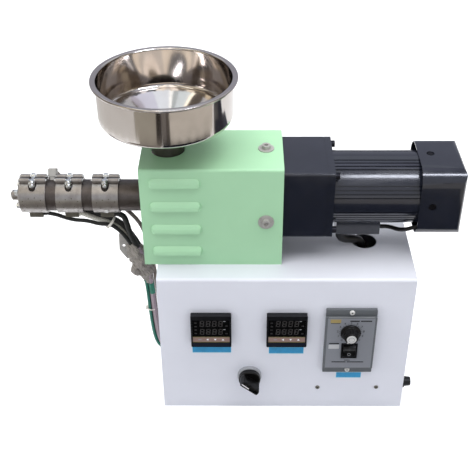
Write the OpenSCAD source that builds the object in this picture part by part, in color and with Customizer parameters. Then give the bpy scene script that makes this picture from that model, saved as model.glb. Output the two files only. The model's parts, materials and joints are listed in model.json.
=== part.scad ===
// Tabletop filament extruder: a folded steel cabinet carries a gear motor,
// a louvred gear cover, a feed hopper and a barrel with three band heaters.
// Origin: middle of the cabinet's underside. +X runs from the nozzle to the
// motor, +Z is up and the operator stands on the -Y side. Millimetres.

/* [Cabinet] */
// Width of the cabinet
cab_w = 300; // [280:1:360]
// Depth of the cabinet
cab_d = 150; // [130:1:200]
// Height of the cabinet
cab_h = 205; // [180:1:260]
// Thickness of the cabinet's sheet
cab_sheet = 1.5; // [1:0.1:2.5]
// Outside radius of the cabinet's bends
cab_bend = 3.5; // [3:0.5:6]
// Diameter of the hole for the motor lead
lead_hole_d = 30; // [20:1:34]

/* [Gear cover] */
// Length of the cover along the machine
cover_len = 160; // [140:1:200]
// Outside width of the cover
cover_w = 92; // [92:1:120]
// Height of the cover above the cabinet
cover_h = 129; // [128:1:160]
// Thickness of the cover's sheet
cover_sheet = 1.5; // [1:0.1:2]
// Outside radius of the cover's bends
cover_bend = 3; // [2.5:0.5:6]
// Number of louvres on each side
louvre_count = 4; // [1:1:4]
// Length of a louvre between its round ends' centres
louvre_len = 48; // [20:1:70]
// Height of a louvre
louvre_h = 10; // [8:0.5:12]
// How far a louvre stands out
louvre_out = 4.5; // [3:0.5:6]
// Distance from louvre to louvre
louvre_pitch = 30.5; // [22:0.5:31]

/* [Gear motor] */
// Height of the barrel's axis above the cabinet
shaft_rise = 67; // [62:0.5:75]
// Offset of the motor's axis above the barrel's axis
motor_offset = 12; // [8:0.5:16]
// Frame size of the gear motor: side of its square gearbox
gear_size = 86; // [70:1:86]
// Length of the gearbox
gear_len = 62; // [50:1:80]
// Length of the flange between gearbox and motor
flange_len = 8; // [6:1:12]
// Length of the motor's body that shows
motor_len = 96; // [80:1:140]
// Number of fin groups round the body
fin_groups = 8; // [4:1:10]
// Grooves in one fin group
fin_grooves = 4; // [2:1:5]
// Length of the fan cover
fan_cover_len = 50; // [40:1:70]

/* [Barrel] */
// Diameter of the barrel
barrel_d = 37; // [30:0.5:45]
// Length of the barrel beyond the cover
barrel_len = 143; // [143:1:200]
// Width of a band heater
band_w = 30; // [20:1:34]
// Thickness of a band heater
band_t = 2.2; // [1.5:0.1:4]
// Distance from band to band
band_pitch = 42; // [36:0.5:46]

/* [Hopper] */
// Radius of the hopper's rim
rim_r = 80; // [80:1:100]
// Radius of the hopper's wall
wall_r = 74.5; // [60:0.5:74.5]
// Height of the rim above the cover
rim_rise = 89.5; // [80:0.5:120]
// Height of the hopper's straight wall
wall_h = 43; // [20:1:50]
// Sheet thickness of the hopper
hopper_sheet = 1.2; // [0.8:0.1:2]
// Outside radius of the hopper's neck
neck_r = 18.5; // [14:0.5:19]
// Distance from the cover's left end to the hopper's axis
hopper_in = 30; // [26:0.5:40]

/* [Controls] */
// Side of a temperature controller's face
ctrl_size = 48; // [44:1:60]
// How far a controller's bezel stands out
ctrl_out = 7; // [4:0.5:12]
// Width of the speed unit
speed_w = 60; // [56:1:64]
// Height of the speed unit
speed_h = 99; // [90:1:110]
// How far the speed unit stands out
speed_out = 4; // [3:0.5:6]
// Diameter of the speed knob
knob_d = 24; // [18:1:30]
// Diameter of the selector's collar
collar_d = 29.5; // [26:0.5:34]

/* [Hidden] */

$fn = 64;
// Overlap that lets one cut run past a face
eps = 1;
// Clearance round a piece that drops into a cut-out
fit_gap = 0.4;

// Places along the machine
front_y = -cab_d / 2;
top_z = cab_h;
cover_x1 = -5;
cover_x0 = cover_x1 - cover_len;
cover_top = top_z + cover_h;
shaft_z = top_z + shaft_rise;
motor_z = shaft_z + motor_offset;
bracket_t = 12;
bracket_x1 = cover_x1 - 13;
bracket_x0 = bracket_x1 - bracket_t;
gear_x0 = bracket_x1;
gear_x1 = gear_x0 + gear_len;
flange_x1 = gear_x1 + flange_len;
fan_cover_x0 = flange_x1 + motor_len;
fan_cover_x1 = fan_cover_x0 + fan_cover_len;
// How far the cover slips over the finned body, and the shield it is screwed to
fan_lap = 6;
rear_shield = 14;
motor_d = gear_size - 2;
fan_cover_size = gear_size + 2;

// Openings in the front panel, each as its middle
heat_x = -88;
cooling_x = 2;
ctrl_z = 131.5;
ctrl_body = ctrl_size - 3.5;
ctrl_depth = 70;
ctrl_face_r = 1.5;
speed_x = 77.5;
speed_z = 113.5;
speed_body_w = speed_w - 8;
speed_body_h = speed_h - 18;
speed_depth = 45;
speed_flange_h = 9;
speed_rise = 3;
speed_border = 2.2;
selector_x = -42;
selector_z = 55;
selector_body_d = 22;

// Speed unit's controls
knob_z = 131;
knob_skirt = 2.5;
knob_h = 15.5;
knob_shaft_d = 6;
knob_gap = 0.6;
knob_flutes = 24;
knob_flute_d = 1.4;
rocker_z = 102.5;
rocker_w = 15;
rocker_h = 18.6;
rocker_rim = 2.2;
rocker_out = 1.6;
rocker_tilt = 8;
rocker_gap = 0.5;
rocker_hub_in = 3.5;
rocker_rise = 4;

// Selector
collar_h = 4;
disc_d = 26.6;
disc_h = 6;
handle_w = 7;
handle_h = 15;
handle_turn = 40;
stub_d = 8;
stub_gap = 0.5;
selector_gap = 0.5;
selector_depth = 34;

// Machine bed inside the cover
block_wall = 11.5;
block_w = barrel_d + 2 * block_wall;
block_len = 60;
block_h = barrel_d + 2 * block_wall;
block_z0 = shaft_z - block_h / 2;
block_top = block_z0 + block_h;
hopper_x = cover_x0 + hopper_in;
block_x0 = hopper_x - max(23, neck_r + 4);
block_x1 = block_x0 + block_len;
throat_r = neck_r - hopper_sheet;
neck_seat = 8;
neck_clear = 0.2;
neck_z0 = block_top - neck_seat;
foot_t = 8;
web_t = 8;
stand_w = 76;
housing_d = 56;
housing_len = 18;
coupling_d = 38;
coupling_len = 34;
shaft_d = 17;
bore_clear = 1;

// Barrel, its bands and its end
barrel_x1 = block_x0;
barrel_x0 = cover_x0 - barrel_len;
barrel_in = 12;
band_inset = 0;
band_x0 = barrel_x0 + band_inset;
band_ri = barrel_d / 2;
band_ro = band_ri + band_t;
band_gap = 5;
eye_r = 3;
rod_r = 1.6;
rod_over = 1.5;
eye_y = 4.2;
eye_z = band_ro + eye_r - 1.1;
slot_r = 3.6;
slot_low = 4;
cap_len = 16;
cap_shift = -1;
cap_w = 13;
cap_drop = 6.5;
end_t = 2.5;
end_d = barrel_d - 4;
nozzle_d = 12.5;
nozzle_len = 10.7;
nozzle_tip = 4;
die_d = 3;

// Leads: points are chosen by hand along each run
lead_d = 10.5;
lead_path = [[65, -12, 228.5], [65, -12, 226], [65, -12, 223.5], [67.5, -11, 219.5],
    [73, -9, 216], [81, -5.5, 213], [89, -2, 208.5], [93.5, 0, 201.5], [95, 1, 192],
    [95.5, 2, 180]];
fan_lead_d = 5;
fan_lead_path = [[154, -33, 249.5], [148, -33, 249.5], [140, -30, 244.5], [132, -22, 238.5],
    [124, -13, 235.5], [118, -10, 234.5], [114, -10, 234.5], [110, -10, 234.5]];

// Heater leads, as (X, Z): an outer pair and an inner pair drop side by side
outer_drop = [[-208.6, 231.2], [-201.6, 226.2], [-195, 218.5], [-189.5, 209], [-183.5, 197],
    [-179, 183], [-174.5, 167], [-171.5, 148], [-170, 128], [-169, 104], [-167, 71],
    [-163, 47], [-156.5, 36], [-147, 32.5]];
inner_drop = [[-168.5, 168], [-165.5, 149], [-164, 128], [-163, 104], [-161, 72],
    [-158, 50], [-153.5, 41], [-147, 39]];
// Lead of the first band
lead_a_d = 4;
lead_a_y = -2.6;
lead_a_start = [[-286, 248], [-283, 248], [-280, 248], [-270, 245.5], [-262, 242],
    [-250, 238.5], [-236, 237], [-222, 233]];
// Pale lead of the second band, which changes sides on its way to the outer pair
lead_b_d = 5;
lead_b_y = 2.3;
lead_b_start = [[-244, -3.2, 248], [-242, -3.2, 248], [-240, -3.2, 248], [-230, -2.6, 243],
    [-222, -0.5, 238], [-214, 1.9, 234.6]];
// Sleeved leads of the second and third bands
lead_c_d = 6;
lead_c_y = 3.2;
lead_c1_start = [[-244, 248], [-242, 248], [-240, 248], [-230, 246], [-222, 242.8],
    [-214, 240.5], [-205, 236], [-197, 230], [-190, 221.5], [-184, 211.5], [-178, 199],
    [-173, 184.5]];
lead_c2_start = [[-202, 248], [-200, 248], [-198, 248], [-191.5, 243.5], [-188.5, 233],
    [-186.5, 223], [-183.5, 211.5], [-178, 199], [-173, 184.5]];
// Sensor lead: round the back of the barrel, then down behind the others
sensor_lead_d = 5;
sensor_lead_path = [[-272, 16.86, 293.05], [-272, 19.5, 291.65], [-272, 22.15, 290.25],
    [-271, 25.5, 287], [-267.5, 28, 280.5], [-258, 28, 273], [-244, 27.5, 264], [-227, 25, 257], [-211, 20, 253],
    [-198, 14, 249], [-188, 10, 243], [-180, 9, 234], [-174, 9.5, 223], [-169.5, 9.5, 210],
    [-167, 9.5, 196], [-164.5, 9.5, 178], [-161.5, 9.5, 158], [-159.5, 9.5, 130],
    [-158, 9.5, 104], [-156.5, 9.5, 76], [-156, 9.5, 56], [-153.5, 9.5, 45],
    [-147, 9.5, 39]];
panel_hole_y = 2.5;
panel_hole_z = 36.5;
panel_hole_d = 24;
gland_y = -58;
gland_z = 28;
gland_d = 16;
gland_bore = 7;

// ---------- shared shapes ----------

// Rectangle with round corners, made of exact arcs
module round_rect(w, h, r) {
    square([w - 2 * r, h], center = true);
    square([w, h - 2 * r], center = true);
    for (sx = [-1, 1], sy = [-1, 1])
        translate([sx * (w / 2 - r), sy * (h / 2 - r)]) circle(r);
}

// Outline of a sheet bent down at both sides, standing on y = 0
module bent_outline(w, h, r) {
    translate([-w / 2, 0]) square([w, h - r]);
    translate([-w / 2 + r, 0]) square([w - 2 * r, h]);
    for (s = [-1, 1]) translate([s * (w / 2 - r), h - r]) circle(r);
}

// Stands a flat outline (Y, Z) up and extrudes it from x0 to x1
module along_x(x0, x1) {
    translate([x0, 0, 0]) rotate([90, 0, 90]) linear_extrude(x1 - x0) children();
}

module x_cylinder(d, x0, x1) {
    translate([x0, 0, 0]) rotate([0, 90, 0]) cylinder(d = d, h = x1 - x0);
}

// Extrudes a front-view outline (X, Z) from y0 back to y1
module along_y(y0, y1) {
    translate([0, y1, 0]) rotate([90, 0, 0]) linear_extrude(y1 - y0) children();
}

// Sweep of a round tube along a smooth curve through hand-set points
function spline(p, i, t) =
    let (a = p[max(i - 1, 0)], b = p[i], c = p[i + 1], d = p[min(i + 2, len(p) - 1)])
    0.5 * (2 * b + (c - a) * t + (2 * a - 5 * b + 4 * c - d) * t * t
        + (3 * b - a - 3 * c + d) * t * t * t);
function curve(p, n) = [
    for (i = [0 : len(p) - 2]) for (k = [0 : n - 1]) spline(p, i, k / n),
    p[len(p) - 1]];
function unit(v) = v / norm(v);
function heading(c, i) = unit(c[min(i + 1, len(c) - 1)] - c[max(i - 1, 0)]);
// The rings are set square to up, a direction that the run never points along
function ring(c, i, r, sides, up) =
    let (t = heading(c, i), s = unit(cross(t, up)), u = cross(s, t))
    [for (k = [0 : sides - 1]) c[i] + r * (cos(360 * k / sides) * s + sin(360 * k / sides) * u)];

module tube(path, d, steps = 2, sides = 10, up = [0, 1, 0]) {
    c = curve(path, steps);
    n = len(c);
    points = [for (i = [0 : n - 1]) each ring(c, i, d / 2, sides, up)];
    walls = [for (i = [0 : n - 2], k = [0 : sides - 1])
        let (a = i * sides + k, b = i * sides + (k + 1) % sides)
        each [[a, b, b + sides], [a, b + sides, a + sides]]];
    first = [for (k = [sides - 1 : -1 : 0]) k];
    last = [for (k = [0 : sides - 1]) (n - 1) * sides + k];
    polyhedron(points, concat(walls, [first, last]));
}

// ---------- cabinet ----------

module cabinet_wrapper() {
    color("ghostwhite") difference() {
        along_x(-cab_w / 2, cab_w / 2) difference() {
            bent_outline(cab_d, cab_h, cab_bend);
            translate([0, -eps])
                bent_outline(cab_d - 2 * cab_sheet, cab_h - cab_sheet + eps, cab_bend - cab_sheet);
        }
        along_y(front_y - eps, front_y + cab_sheet + eps) {
            for (x = [heat_x, cooling_x]) translate([x, ctrl_z])
                square(ctrl_body + 2 * fit_gap, center = true);
            translate([speed_x, speed_z])
                square([speed_body_w + 2 * fit_gap, speed_body_h + 2 * fit_gap], center = true);
            translate([selector_x, selector_z]) circle(d = selector_body_d + 2 * fit_gap);
        }
        translate([lead_hole_x(), lead_hole_y(), top_z - cab_sheet - eps])
            cylinder(d = lead_hole_d, h = cab_sheet + 2 * eps);
    }
}
function lead_hole_x() = 96.5;
function lead_hole_y() = 1.5;

// Flat end that fills the wrapper's section, flush with its edge
module end_panel(side, hole_y, hole_z, hole_d) {
    x_out = side * cab_w / 2;
    x_in = x_out - side * cab_sheet;
    difference() {
        along_x(min(x_in, x_out), max(x_in, x_out))
            bent_outline(cab_d - 2 * cab_sheet, cab_h - cab_sheet, cab_bend - cab_sheet);
        translate([0, hole_y, hole_z])
            x_cylinder(hole_d, min(x_in, x_out) - eps, max(x_in, x_out) + eps);
    }
}

module left_end_panel() {
    color("ghostwhite") end_panel(-1, panel_hole_y, panel_hole_z, panel_hole_d);
}

module right_end_panel() {
    color("ghostwhite") end_panel(1, gland_y, gland_z, gland_d - 4);
}

module base_plate() {
    color("gainsboro") translate([-cab_w / 2 + cab_sheet, -cab_d / 2 + cab_sheet, 0])
        cube([cab_w - 2 * cab_sheet, cab_d - 2 * cab_sheet, cab_sheet]);
}

// ---------- controls ----------

// The window fills the bezel's recess above the row of keys
window_t = 1;
bezel_side = 2;
bezel_top = 6;
window_h = 26;
keys_h = 9;
window_w = ctrl_size - 2 * bezel_side;
window_z = ctrl_size / 2 - bezel_top - window_h / 2;
keys_z = ctrl_size / 2 - bezel_top - window_h - keys_h / 2;

// Panel instrument: bezel in front of the sheet, case behind it
module controller(x) {
    bezel_y = front_y - ctrl_out;
    translate([x, 0, ctrl_z]) difference() {
        union() {
            along_y(bezel_y, front_y) round_rect(ctrl_size, ctrl_size, ctrl_face_r);
            along_y(front_y, front_y + ctrl_depth) square(ctrl_body, center = true);
        }
        translate([0, 0, ctrl_size / 2 - bezel_top - (window_h + keys_h) / 2])
            along_y(bezel_y - eps, bezel_y + window_t)
                square([window_w, window_h + keys_h], center = true);
    }
}

module display(x) {
    translate([x, 0, ctrl_z + window_z])
        along_y(front_y - ctrl_out + window_t / 2, front_y - ctrl_out + window_t)
            square([window_w, window_h], center = true);
}

module heat_controller() { color("dimgray") controller(heat_x); }
module heat_display() { color("black") display(heat_x); }
module cooling_controller() { color("dimgray") controller(cooling_x); }
module cooling_display() { color("black") display(cooling_x); }

module controller_keys() {
    color("rosybrown") for (x = [heat_x, cooling_x]) translate([x, 0, ctrl_z + keys_z])
        along_y(front_y - ctrl_out + window_t / 2, front_y - ctrl_out + window_t)
            square([window_w, keys_h], center = true);
}

speed_y = front_y - speed_out;
face_y = speed_y - speed_rise;
face_w = speed_w - 2 * speed_border;
face_h = speed_h - 2 * speed_flange_h;
face_t = 0.8;

// Holes that the knob's shaft and the rocker need, from the front of the unit
module speed_holes() {
    translate([speed_x, 0, knob_z])
        along_y(face_y - eps, face_y + 14) circle(d = knob_shaft_d + 2 * knob_gap);
    translate([speed_x, 0, rocker_z])
        along_y(face_y - eps, face_y + 19)
            square([rocker_w + 2 * rocker_gap, rocker_h + 2 * rocker_gap], center = true);
}

// Moulded unit: screw flanges above and below a raised middle, and a case behind
module speed_plate() {
    color("dimgray") difference() {
        translate([speed_x, 0, speed_z]) {
            along_y(speed_y, front_y) round_rect(speed_w, speed_h, 1);
            along_y(front_y, front_y + speed_depth)
                square([speed_body_w, speed_body_h], center = true);
            along_y(face_y, speed_y) difference() {
                square([speed_w, face_h], center = true);
                square([face_w, face_h - speed_border], center = true);
            }
            along_y(face_y + face_t, speed_y)
                square([face_w, face_h - speed_border], center = true);
        }
        speed_holes();
    }
}

module speed_face() {
    color("gray") difference() {
        translate([speed_x, 0, speed_z])
            along_y(face_y, face_y + face_t)
                square([face_w, face_h - speed_border], center = true);
        speed_holes();
    }
}

// Fluted knob on a plain stub shaft, turned about the Y axis
module speed_knob() {
    knob_y = face_y - knob_gap;
    grip_r = knob_d / 2 - 2;
    crown_r = grip_r - knob_flute_d / 2 - 0.3;
    color("black") translate([speed_x, knob_y, knob_z]) rotate([90, 0, 0]) difference() {
        union() {
            rotate_extrude() polygon([[0, 0], [knob_d / 2, 0], [knob_d / 2, knob_skirt - 0.8],
                [grip_r + 0.6, knob_skirt], [0, knob_skirt]]);
            translate([0, 0, knob_skirt]) linear_extrude(knob_h - 1 - knob_skirt) difference() {
                circle(grip_r);
                for (k = [0 : knob_flutes - 1]) rotate(k * 360 / knob_flutes)
                    translate([grip_r, 0]) circle(d = knob_flute_d, $fn = 16);
            }
            translate([0, 0, knob_h - 1]) cylinder(r = crown_r, h = 1);
            translate([0, 0, -9]) cylinder(d = knob_shaft_d, h = 9);
        }
        translate([0, 0, knob_h - 1]) cylinder(r = cap_r + 0.1, h = 2);
    }
}

cap_r = 5.5;

module speed_knob_cap() {
    color("silver") translate([speed_x, face_y - knob_gap - knob_h + 1, knob_z])
        rotate([90, 0, 0]) cylinder(r = cap_r, h = 0.8);
}

module rocker_frame() {
    color("silver") translate([speed_x, 0, rocker_z])
        along_y(face_y - rocker_out, face_y) difference() {
            square([rocker_w + 2 * rocker_rim, rocker_h + 2 * rocker_rim], center = true);
            square([rocker_w + 2 * rocker_gap, rocker_h + 2 * rocker_gap], center = true);
        }
}

// Two shallow faces that meet over the pivot; the ends are arcs about it
module run_rocker() {
    pivot_y = face_y + rocker_hub_in;
    reach = rocker_h / 2;
    color("black") translate([0, pivot_y, rocker_z]) rotate([rocker_tilt, 0, 0])
        along_x(speed_x - rocker_w / 2, speed_x + rocker_w / 2) intersection() {
            circle(reach);
            polygon([[-rocker_hub_in - rocker_rise, reach], [-rocker_hub_in - rocker_rise + 2, 0],
                [-rocker_hub_in - rocker_rise, -reach], [1, -reach], [3, 0], [1, reach]]);
        }
}

module selector_collar() {
    color("silver") translate([selector_x, front_y, selector_z]) rotate([90, 0, 0])
        difference() {
            union() {
                rotate_extrude() polygon([[0, 0], [collar_d / 2, 0], [collar_d / 2, collar_h - 1],
                    [collar_d / 2 - 1.2, collar_h], [0, collar_h]]);
                translate([0, 0, -selector_depth]) cylinder(d = selector_body_d, h = selector_depth);
            }
            translate([0, 0, -12]) cylinder(d = stub_d + 2 * stub_gap, h = 12 + collar_h + eps);
        }
}

// Disc with a raised finger grip, on a stub that turns in the collar
module selector_handle() {
    base_z = collar_h + selector_gap;
    color("black") translate([selector_x, front_y, selector_z]) rotate([90, handle_turn, 0]) {
        rotate_extrude() polygon([[0, base_z], [disc_d / 2, base_z],
            [disc_d / 2, base_z + disc_h - 1], [disc_d / 2 - 1, base_z + disc_h],
            [0, base_z + disc_h]]);
        intersection() {
            translate([0, 0, base_z + disc_h - 1]) cylinder(d = disc_d - 1.2, h = handle_h + 1);
            translate([-disc_d / 2, 0, base_z + disc_h - 1]) rotate([90, 0, 90])
                linear_extrude(disc_d) polygon([[-handle_w / 2 - 1.2, 0], [handle_w / 2 + 1.2, 0],
                    [handle_w / 2, handle_h - 1], [handle_w / 2 - 1, handle_h + 1],
                    [-handle_w / 2 + 1, handle_h + 1], [-handle_w / 2, handle_h - 1]]);
        }
        translate([0, 0, base_z - 11]) cylinder(d = stub_d, h = 11.5);
    }
}

// ---------- gear cover and what is bolted to it ----------

// Depth of the louvre arc's centre inside the sheet's face, and its radius
louvre_in = (louvre_h * louvre_h - louvre_out * louvre_out) / (2 * louvre_out);
louvre_arc = louvre_in + louvre_out;
// Radii of the louvre's corners seen from the front, above and at the open edge
louvre_top = 5;
louvre_foot = 2.5;
louvre_x0 = cover_x0 + 15;
louvre_z0 = 16;
bolt_x = bracket_x0 + bracket_t / 2;
bolt_z = shaft_z - 6.5;
bolt_d = 6;
bolt_head_d = 10;
bolt_head_h = 4;
washer_d = 18;
washer_t = 1.2;

// Pressed form of a louvre on a sheet whose face is y = 0, set in by t all round:
// an arc from the top down to the open lower edge, with round ends and corners
module louvre_form(t, y_in) {
    end_r = louvre_out - t;
    h = louvre_h - t;
    intersection() {
        translate([-louvre_out, louvre_in, 0])
            x_cylinder(2 * (louvre_arc - t), 0, louvre_len + 2 * louvre_out);
        linear_extrude(h) {
            translate([0, -end_r]) square([louvre_len, end_r + y_in]);
            translate([-end_r, 0]) square([louvre_len + 2 * end_r, max(y_in, 0.01)]);
            for (x = [0, louvre_len]) translate([x, 0]) circle(end_r);
        }
        along_y(-louvre_out, y_in + eps) {
            translate([-end_r, louvre_foot])
                square([louvre_len + 2 * end_r, louvre_h - louvre_top - louvre_foot]);
            translate([louvre_foot - louvre_out, 0])
                square([louvre_len + 2 * (louvre_out - louvre_foot), louvre_h - louvre_top]);
            translate([louvre_top - louvre_out, 0])
                square([louvre_len + 2 * (louvre_out - louvre_top), h]);
            for (x = [louvre_top - louvre_out, louvre_len + louvre_out - louvre_top])
                translate([x, louvre_h - louvre_top]) circle(louvre_top - t);
            for (x = [louvre_foot - louvre_out, louvre_len + louvre_out - louvre_foot])
                translate([x, louvre_foot]) circle(louvre_foot - t);
        }
    }
}

module at_louvres() {
    for (side = [0, 1], k = [0 : louvre_count - 1]) mirror([0, side, 0])
        translate([louvre_x0, -cover_w / 2, top_z + louvre_z0 + k * louvre_pitch])
            children();
}

module gear_cover() {
    color("lightgreen") {
        difference() {
            translate([0, 0, top_z]) along_x(cover_x0, cover_x1) difference() {
                bent_outline(cover_w, cover_h, cover_bend);
                translate([0, -eps]) bent_outline(cover_w - 2 * cover_sheet,
                    cover_h - cover_sheet + eps, cover_bend - cover_sheet);
            }
            at_louvres() louvre_form(cover_sheet, cover_sheet + eps);
            translate([hopper_x, 0, cover_top - cover_sheet - eps])
                cylinder(r = neck_r + bore_clear, h = cover_sheet + 2 * eps);
            translate([bolt_x, 0, cover_top - cover_sheet - eps])
                cylinder(d = bolt_d + bore_clear, h = cover_sheet + 2 * eps);
            translate([bolt_x, cover_w / 2 + eps, bolt_z]) rotate([90, 0, 0])
                cylinder(d = bolt_d + bore_clear, h = cover_w + 2 * eps);
        }
        at_louvres() difference() {
            louvre_form(0, 0);
            translate([0, 0, -eps]) louvre_form(cover_sheet, eps);
            louvre_form(cover_sheet, eps);
        }
    }
}

// Washer, head and shank, with the sheet's face at z = 0
module cover_bolt() {
    cylinder(d = washer_d, h = washer_t);
    translate([0, 0, washer_t]) difference() {
        cylinder(d = bolt_head_d, h = bolt_head_h);
        translate([0, 0, bolt_head_h - 2.5]) cylinder(d = 5 / cos(30), h = 3, $fn = 6);
    }
    translate([0, 0, -cover_sheet]) cylinder(d = bolt_d, h = cover_sheet + eps);
}

module cover_bolts() {
    color("silver") {
        translate([bolt_x, 0, cover_top]) cover_bolt();
        translate([bolt_x, -cover_w / 2, bolt_z]) rotate([90, 0, 0]) cover_bolt();
        translate([bolt_x, cover_w / 2, bolt_z]) rotate([-90, 0, 0]) cover_bolt();
    }
}

// Spun stainless hopper: a band with a rolled rim, a funnel floor and a spout
rim_z = cover_top + rim_rise;
roll_r = 1.6;
rim_bend = 1;
shoulder_r = 5;
wall_z0 = rim_z - wall_h;
cone_z0 = cover_top + 14;
wall_in = wall_r - hopper_sheet;
cone_r = wall_in - shoulder_r;
cone_z1 = wall_z0 - shoulder_r;

// Quarter of a ring about the origin, in the quadrant that sx and sy point to
module quarter_ring(r_in, r_out, sx, sy) {
    intersection() {
        difference() {
            circle(r_out);
            circle(r_in);
        }
        translate([min(sx, 0) * r_out, min(sy, 0) * r_out]) square(r_out);
    }
}

module hopper() {
    bend_x = wall_r + rim_bend;
    bend_z = rim_z - hopper_sheet - rim_bend;
    color("lightsteelblue") translate([hopper_x, 0, 0]) rotate_extrude($fn = 96) {
        translate([wall_in, wall_z0]) square([hopper_sheet, bend_z - wall_z0]);
        translate([bend_x, bend_z]) quarter_ring(rim_bend, rim_bend + hopper_sheet, -1, 1);
        translate([bend_x, rim_z - hopper_sheet])
            square([rim_r - roll_r - bend_x, hopper_sheet]);
        translate([rim_r - roll_r, rim_z - roll_r]) circle(roll_r);
    }
}

// Funnel whose turned-up edge meets the band
module hopper_cone() {
    color("lightsteelblue") translate([hopper_x, 0, 0]) rotate_extrude($fn = 96) {
        polygon([[cone_r, cone_z1], [neck_r, cone_z0], [neck_r, cone_z0 - hopper_sheet],
            [cone_r, cone_z1 - hopper_sheet]]);
        translate([cone_r, wall_z0])
            quarter_ring(shoulder_r, shoulder_r + hopper_sheet, 1, -1);
    }
}

module hopper_neck() {
    color("lightsteelblue") translate([hopper_x, 0, neck_z0]) difference() {
        cylinder(r = neck_r, h = cone_z0 - neck_z0);
        translate([0, 0, -eps]) cylinder(r = throat_r, h = cone_z0 - neck_z0 + 2 * eps);
    }
}

// Steel block with the vertical feed throat; the barrel screws into its side
module feed_block() {
    color("slategray") difference() {
        union() {
            translate([block_x0, -block_w / 2, block_z0]) cube([block_len, block_w, block_h]);
            translate([0, 0, shaft_z]) x_cylinder(housing_d, block_x1, block_x1 + housing_len);
        }
        translate([hopper_x, 0, neck_z0]) cylinder(r = neck_r + neck_clear, h = neck_seat + eps);
        translate([hopper_x, 0, shaft_z]) cylinder(r = throat_r, h = block_h);
        translate([0, 0, shaft_z]) {
            x_cylinder(barrel_d, block_x0 - eps, block_x0 + barrel_in);
            x_cylinder(shaft_d + bore_clear, block_x1, block_x1 + housing_len + eps);
        }
    }
}

// Welded stand: foot, two webs and a top plate under the feed block
module block_stand() {
    color("slategray") {
        translate([block_x0, -stand_w / 2, top_z]) cube([block_len, stand_w, foot_t]);
        for (x = [block_x0 + web_t, block_x1 - 2 * web_t])
            translate([x, -block_w / 2, top_z + foot_t])
                cube([web_t, block_w, block_z0 - top_z - 2 * foot_t]);
        translate([block_x0, -block_w / 2, block_z0 - foot_t]) cube([block_len, block_w, foot_t]);
    }
}

// Shaft from the gearbox with a split clamp coupling on it
module shaft_coupling() {
    coupling_x1 = bracket_x0 - 4;
    coupling_x0 = coupling_x1 - coupling_len;
    color("darkgray") translate([0, 0, shaft_z]) difference() {
        union() {
            x_cylinder(shaft_d, block_x1 + 2, gear_x0);
            x_cylinder(coupling_d, coupling_x0, coupling_x1);
        }
        translate([coupling_x0 - eps, -0.75, shaft_d / 2])
            cube([coupling_len + 2 * eps, 1.5, coupling_d]);
        for (x = [coupling_x0 + 8, coupling_x1 - 8]) translate([x, 12, 20])
            rotate([90, 0, 0]) cylinder(d = 5, h = 24);
    }
}

// Thick plate on a foot: carries the gearbox and takes the cover's bolts
module gearbox_bracket() {
    plate_w = cover_w - 2 * cover_sheet;
    color("slategray") difference() {
        union() {
            translate([0, 0, top_z]) along_x(bracket_x0, bracket_x1)
                bent_outline(plate_w, cover_h - cover_sheet, cover_bend - cover_sheet);
            translate([bracket_x0 - 22, -plate_w / 2, top_z]) cube([22, plate_w, foot_t]);
        }
        translate([0, 0, shaft_z])
            x_cylinder(shaft_d + 2 * bore_clear, bracket_x0 - eps, bracket_x1 + eps);
    }
}

// ---------- gear motor ----------

corner_r = 3;
bolt_in = 7;
bolt_z_in = 5;

module gearbox() {
    color("darkslategray") translate([0, 0, motor_z])
        along_x(gear_x0, gear_x1) round_rect(gear_size, gear_size, corner_r);
}

// Front shield of the motor, set off from the gearbox by a shallow seam
module motor_flange() {
    seam = 0.5;
    color("darkslategray") translate([0, 0, motor_z]) {
        along_x(gear_x1, gear_x1 + seam)
            round_rect(gear_size - 2 * seam, gear_size - 2 * seam, corner_r);
        along_x(gear_x1 + seam, flange_x1) round_rect(gear_size, gear_size, corner_r);
    }
}

module gearbox_bolts() {
    corner = gear_size / 2 - bolt_in;
    color("black") for (sy = [-1, 1], sz = [-1, 1])
        translate([flange_x1, sy * corner, motor_z + sz * corner]) rotate([0, 90, 0]) difference() {
            cylinder(d = 8, h = bolt_z_in);
            translate([0, 0, bolt_z_in - 2.5]) cylinder(d = 4 / cos(30), h = 3, $fn = 6);
        }
}

// Extruded aluminium body: groups of fins between smooth bands
fin_pitch_angle = 6.2;
fin_gap = 1.3;
fin_depth = 1.8;

module motor_section() {
    group_angle = 360 / fin_groups;
    difference() {
        circle(d = motor_d, $fn = 128);
        for (g = [0 : fin_groups - 1], k = [0 : fin_grooves - 1])
            rotate(group_angle * (g + 0.5) + (k - (fin_grooves - 1) / 2) * fin_pitch_angle)
                translate([motor_d / 2 - fin_depth, -fin_gap / 2]) square([fin_depth + eps, fin_gap]);
    }
}

module motor_body() {
    color("darkslategray") translate([0, 0, motor_z]) {
        along_x(flange_x1, fan_cover_x0 + fan_lap) motor_section();
        difference() {
            x_cylinder(fan_cover_inner, fan_cover_x0 + fan_lap, shield_x1);
            for (a = [0 : 90 : 270]) rotate([a, 0, 0])
                translate([fan_cover_x0 + fan_screw_x, 0, fan_cover_inner / 2 - 6])
                    cylinder(d = fan_screw_d, h = 8);
        }
        x_cylinder(fan_shaft_d, shield_x1, shield_x1 + 18);
    }
}

fan_cover_wall = 1.5;
fan_cover_r = 20;
rear_wall = 2;
fan_cover_inner = fan_cover_size - 2 * fan_cover_wall;
fan_screw_d = 4;
fan_head_d = 7;
fan_hole_d = fan_head_d + 2;
hood_bend = 8;
fan_screw_x = 14;
fan_shaft_d = 8;
shield_x1 = fan_cover_x0 + fan_lap + rear_shield;

// Long shape with two round corners at its x1 end
module round_end(x0, x1, w, r) {
    translate([x0, -w / 2]) square([x1 - r - x0, w]);
    translate([x1 - r - eps, r - w / 2]) square([r + eps, w - 2 * r]);
    for (s = [-1, 1]) translate([x1 - r, s * (w / 2 - r)]) circle(r);
}

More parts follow.
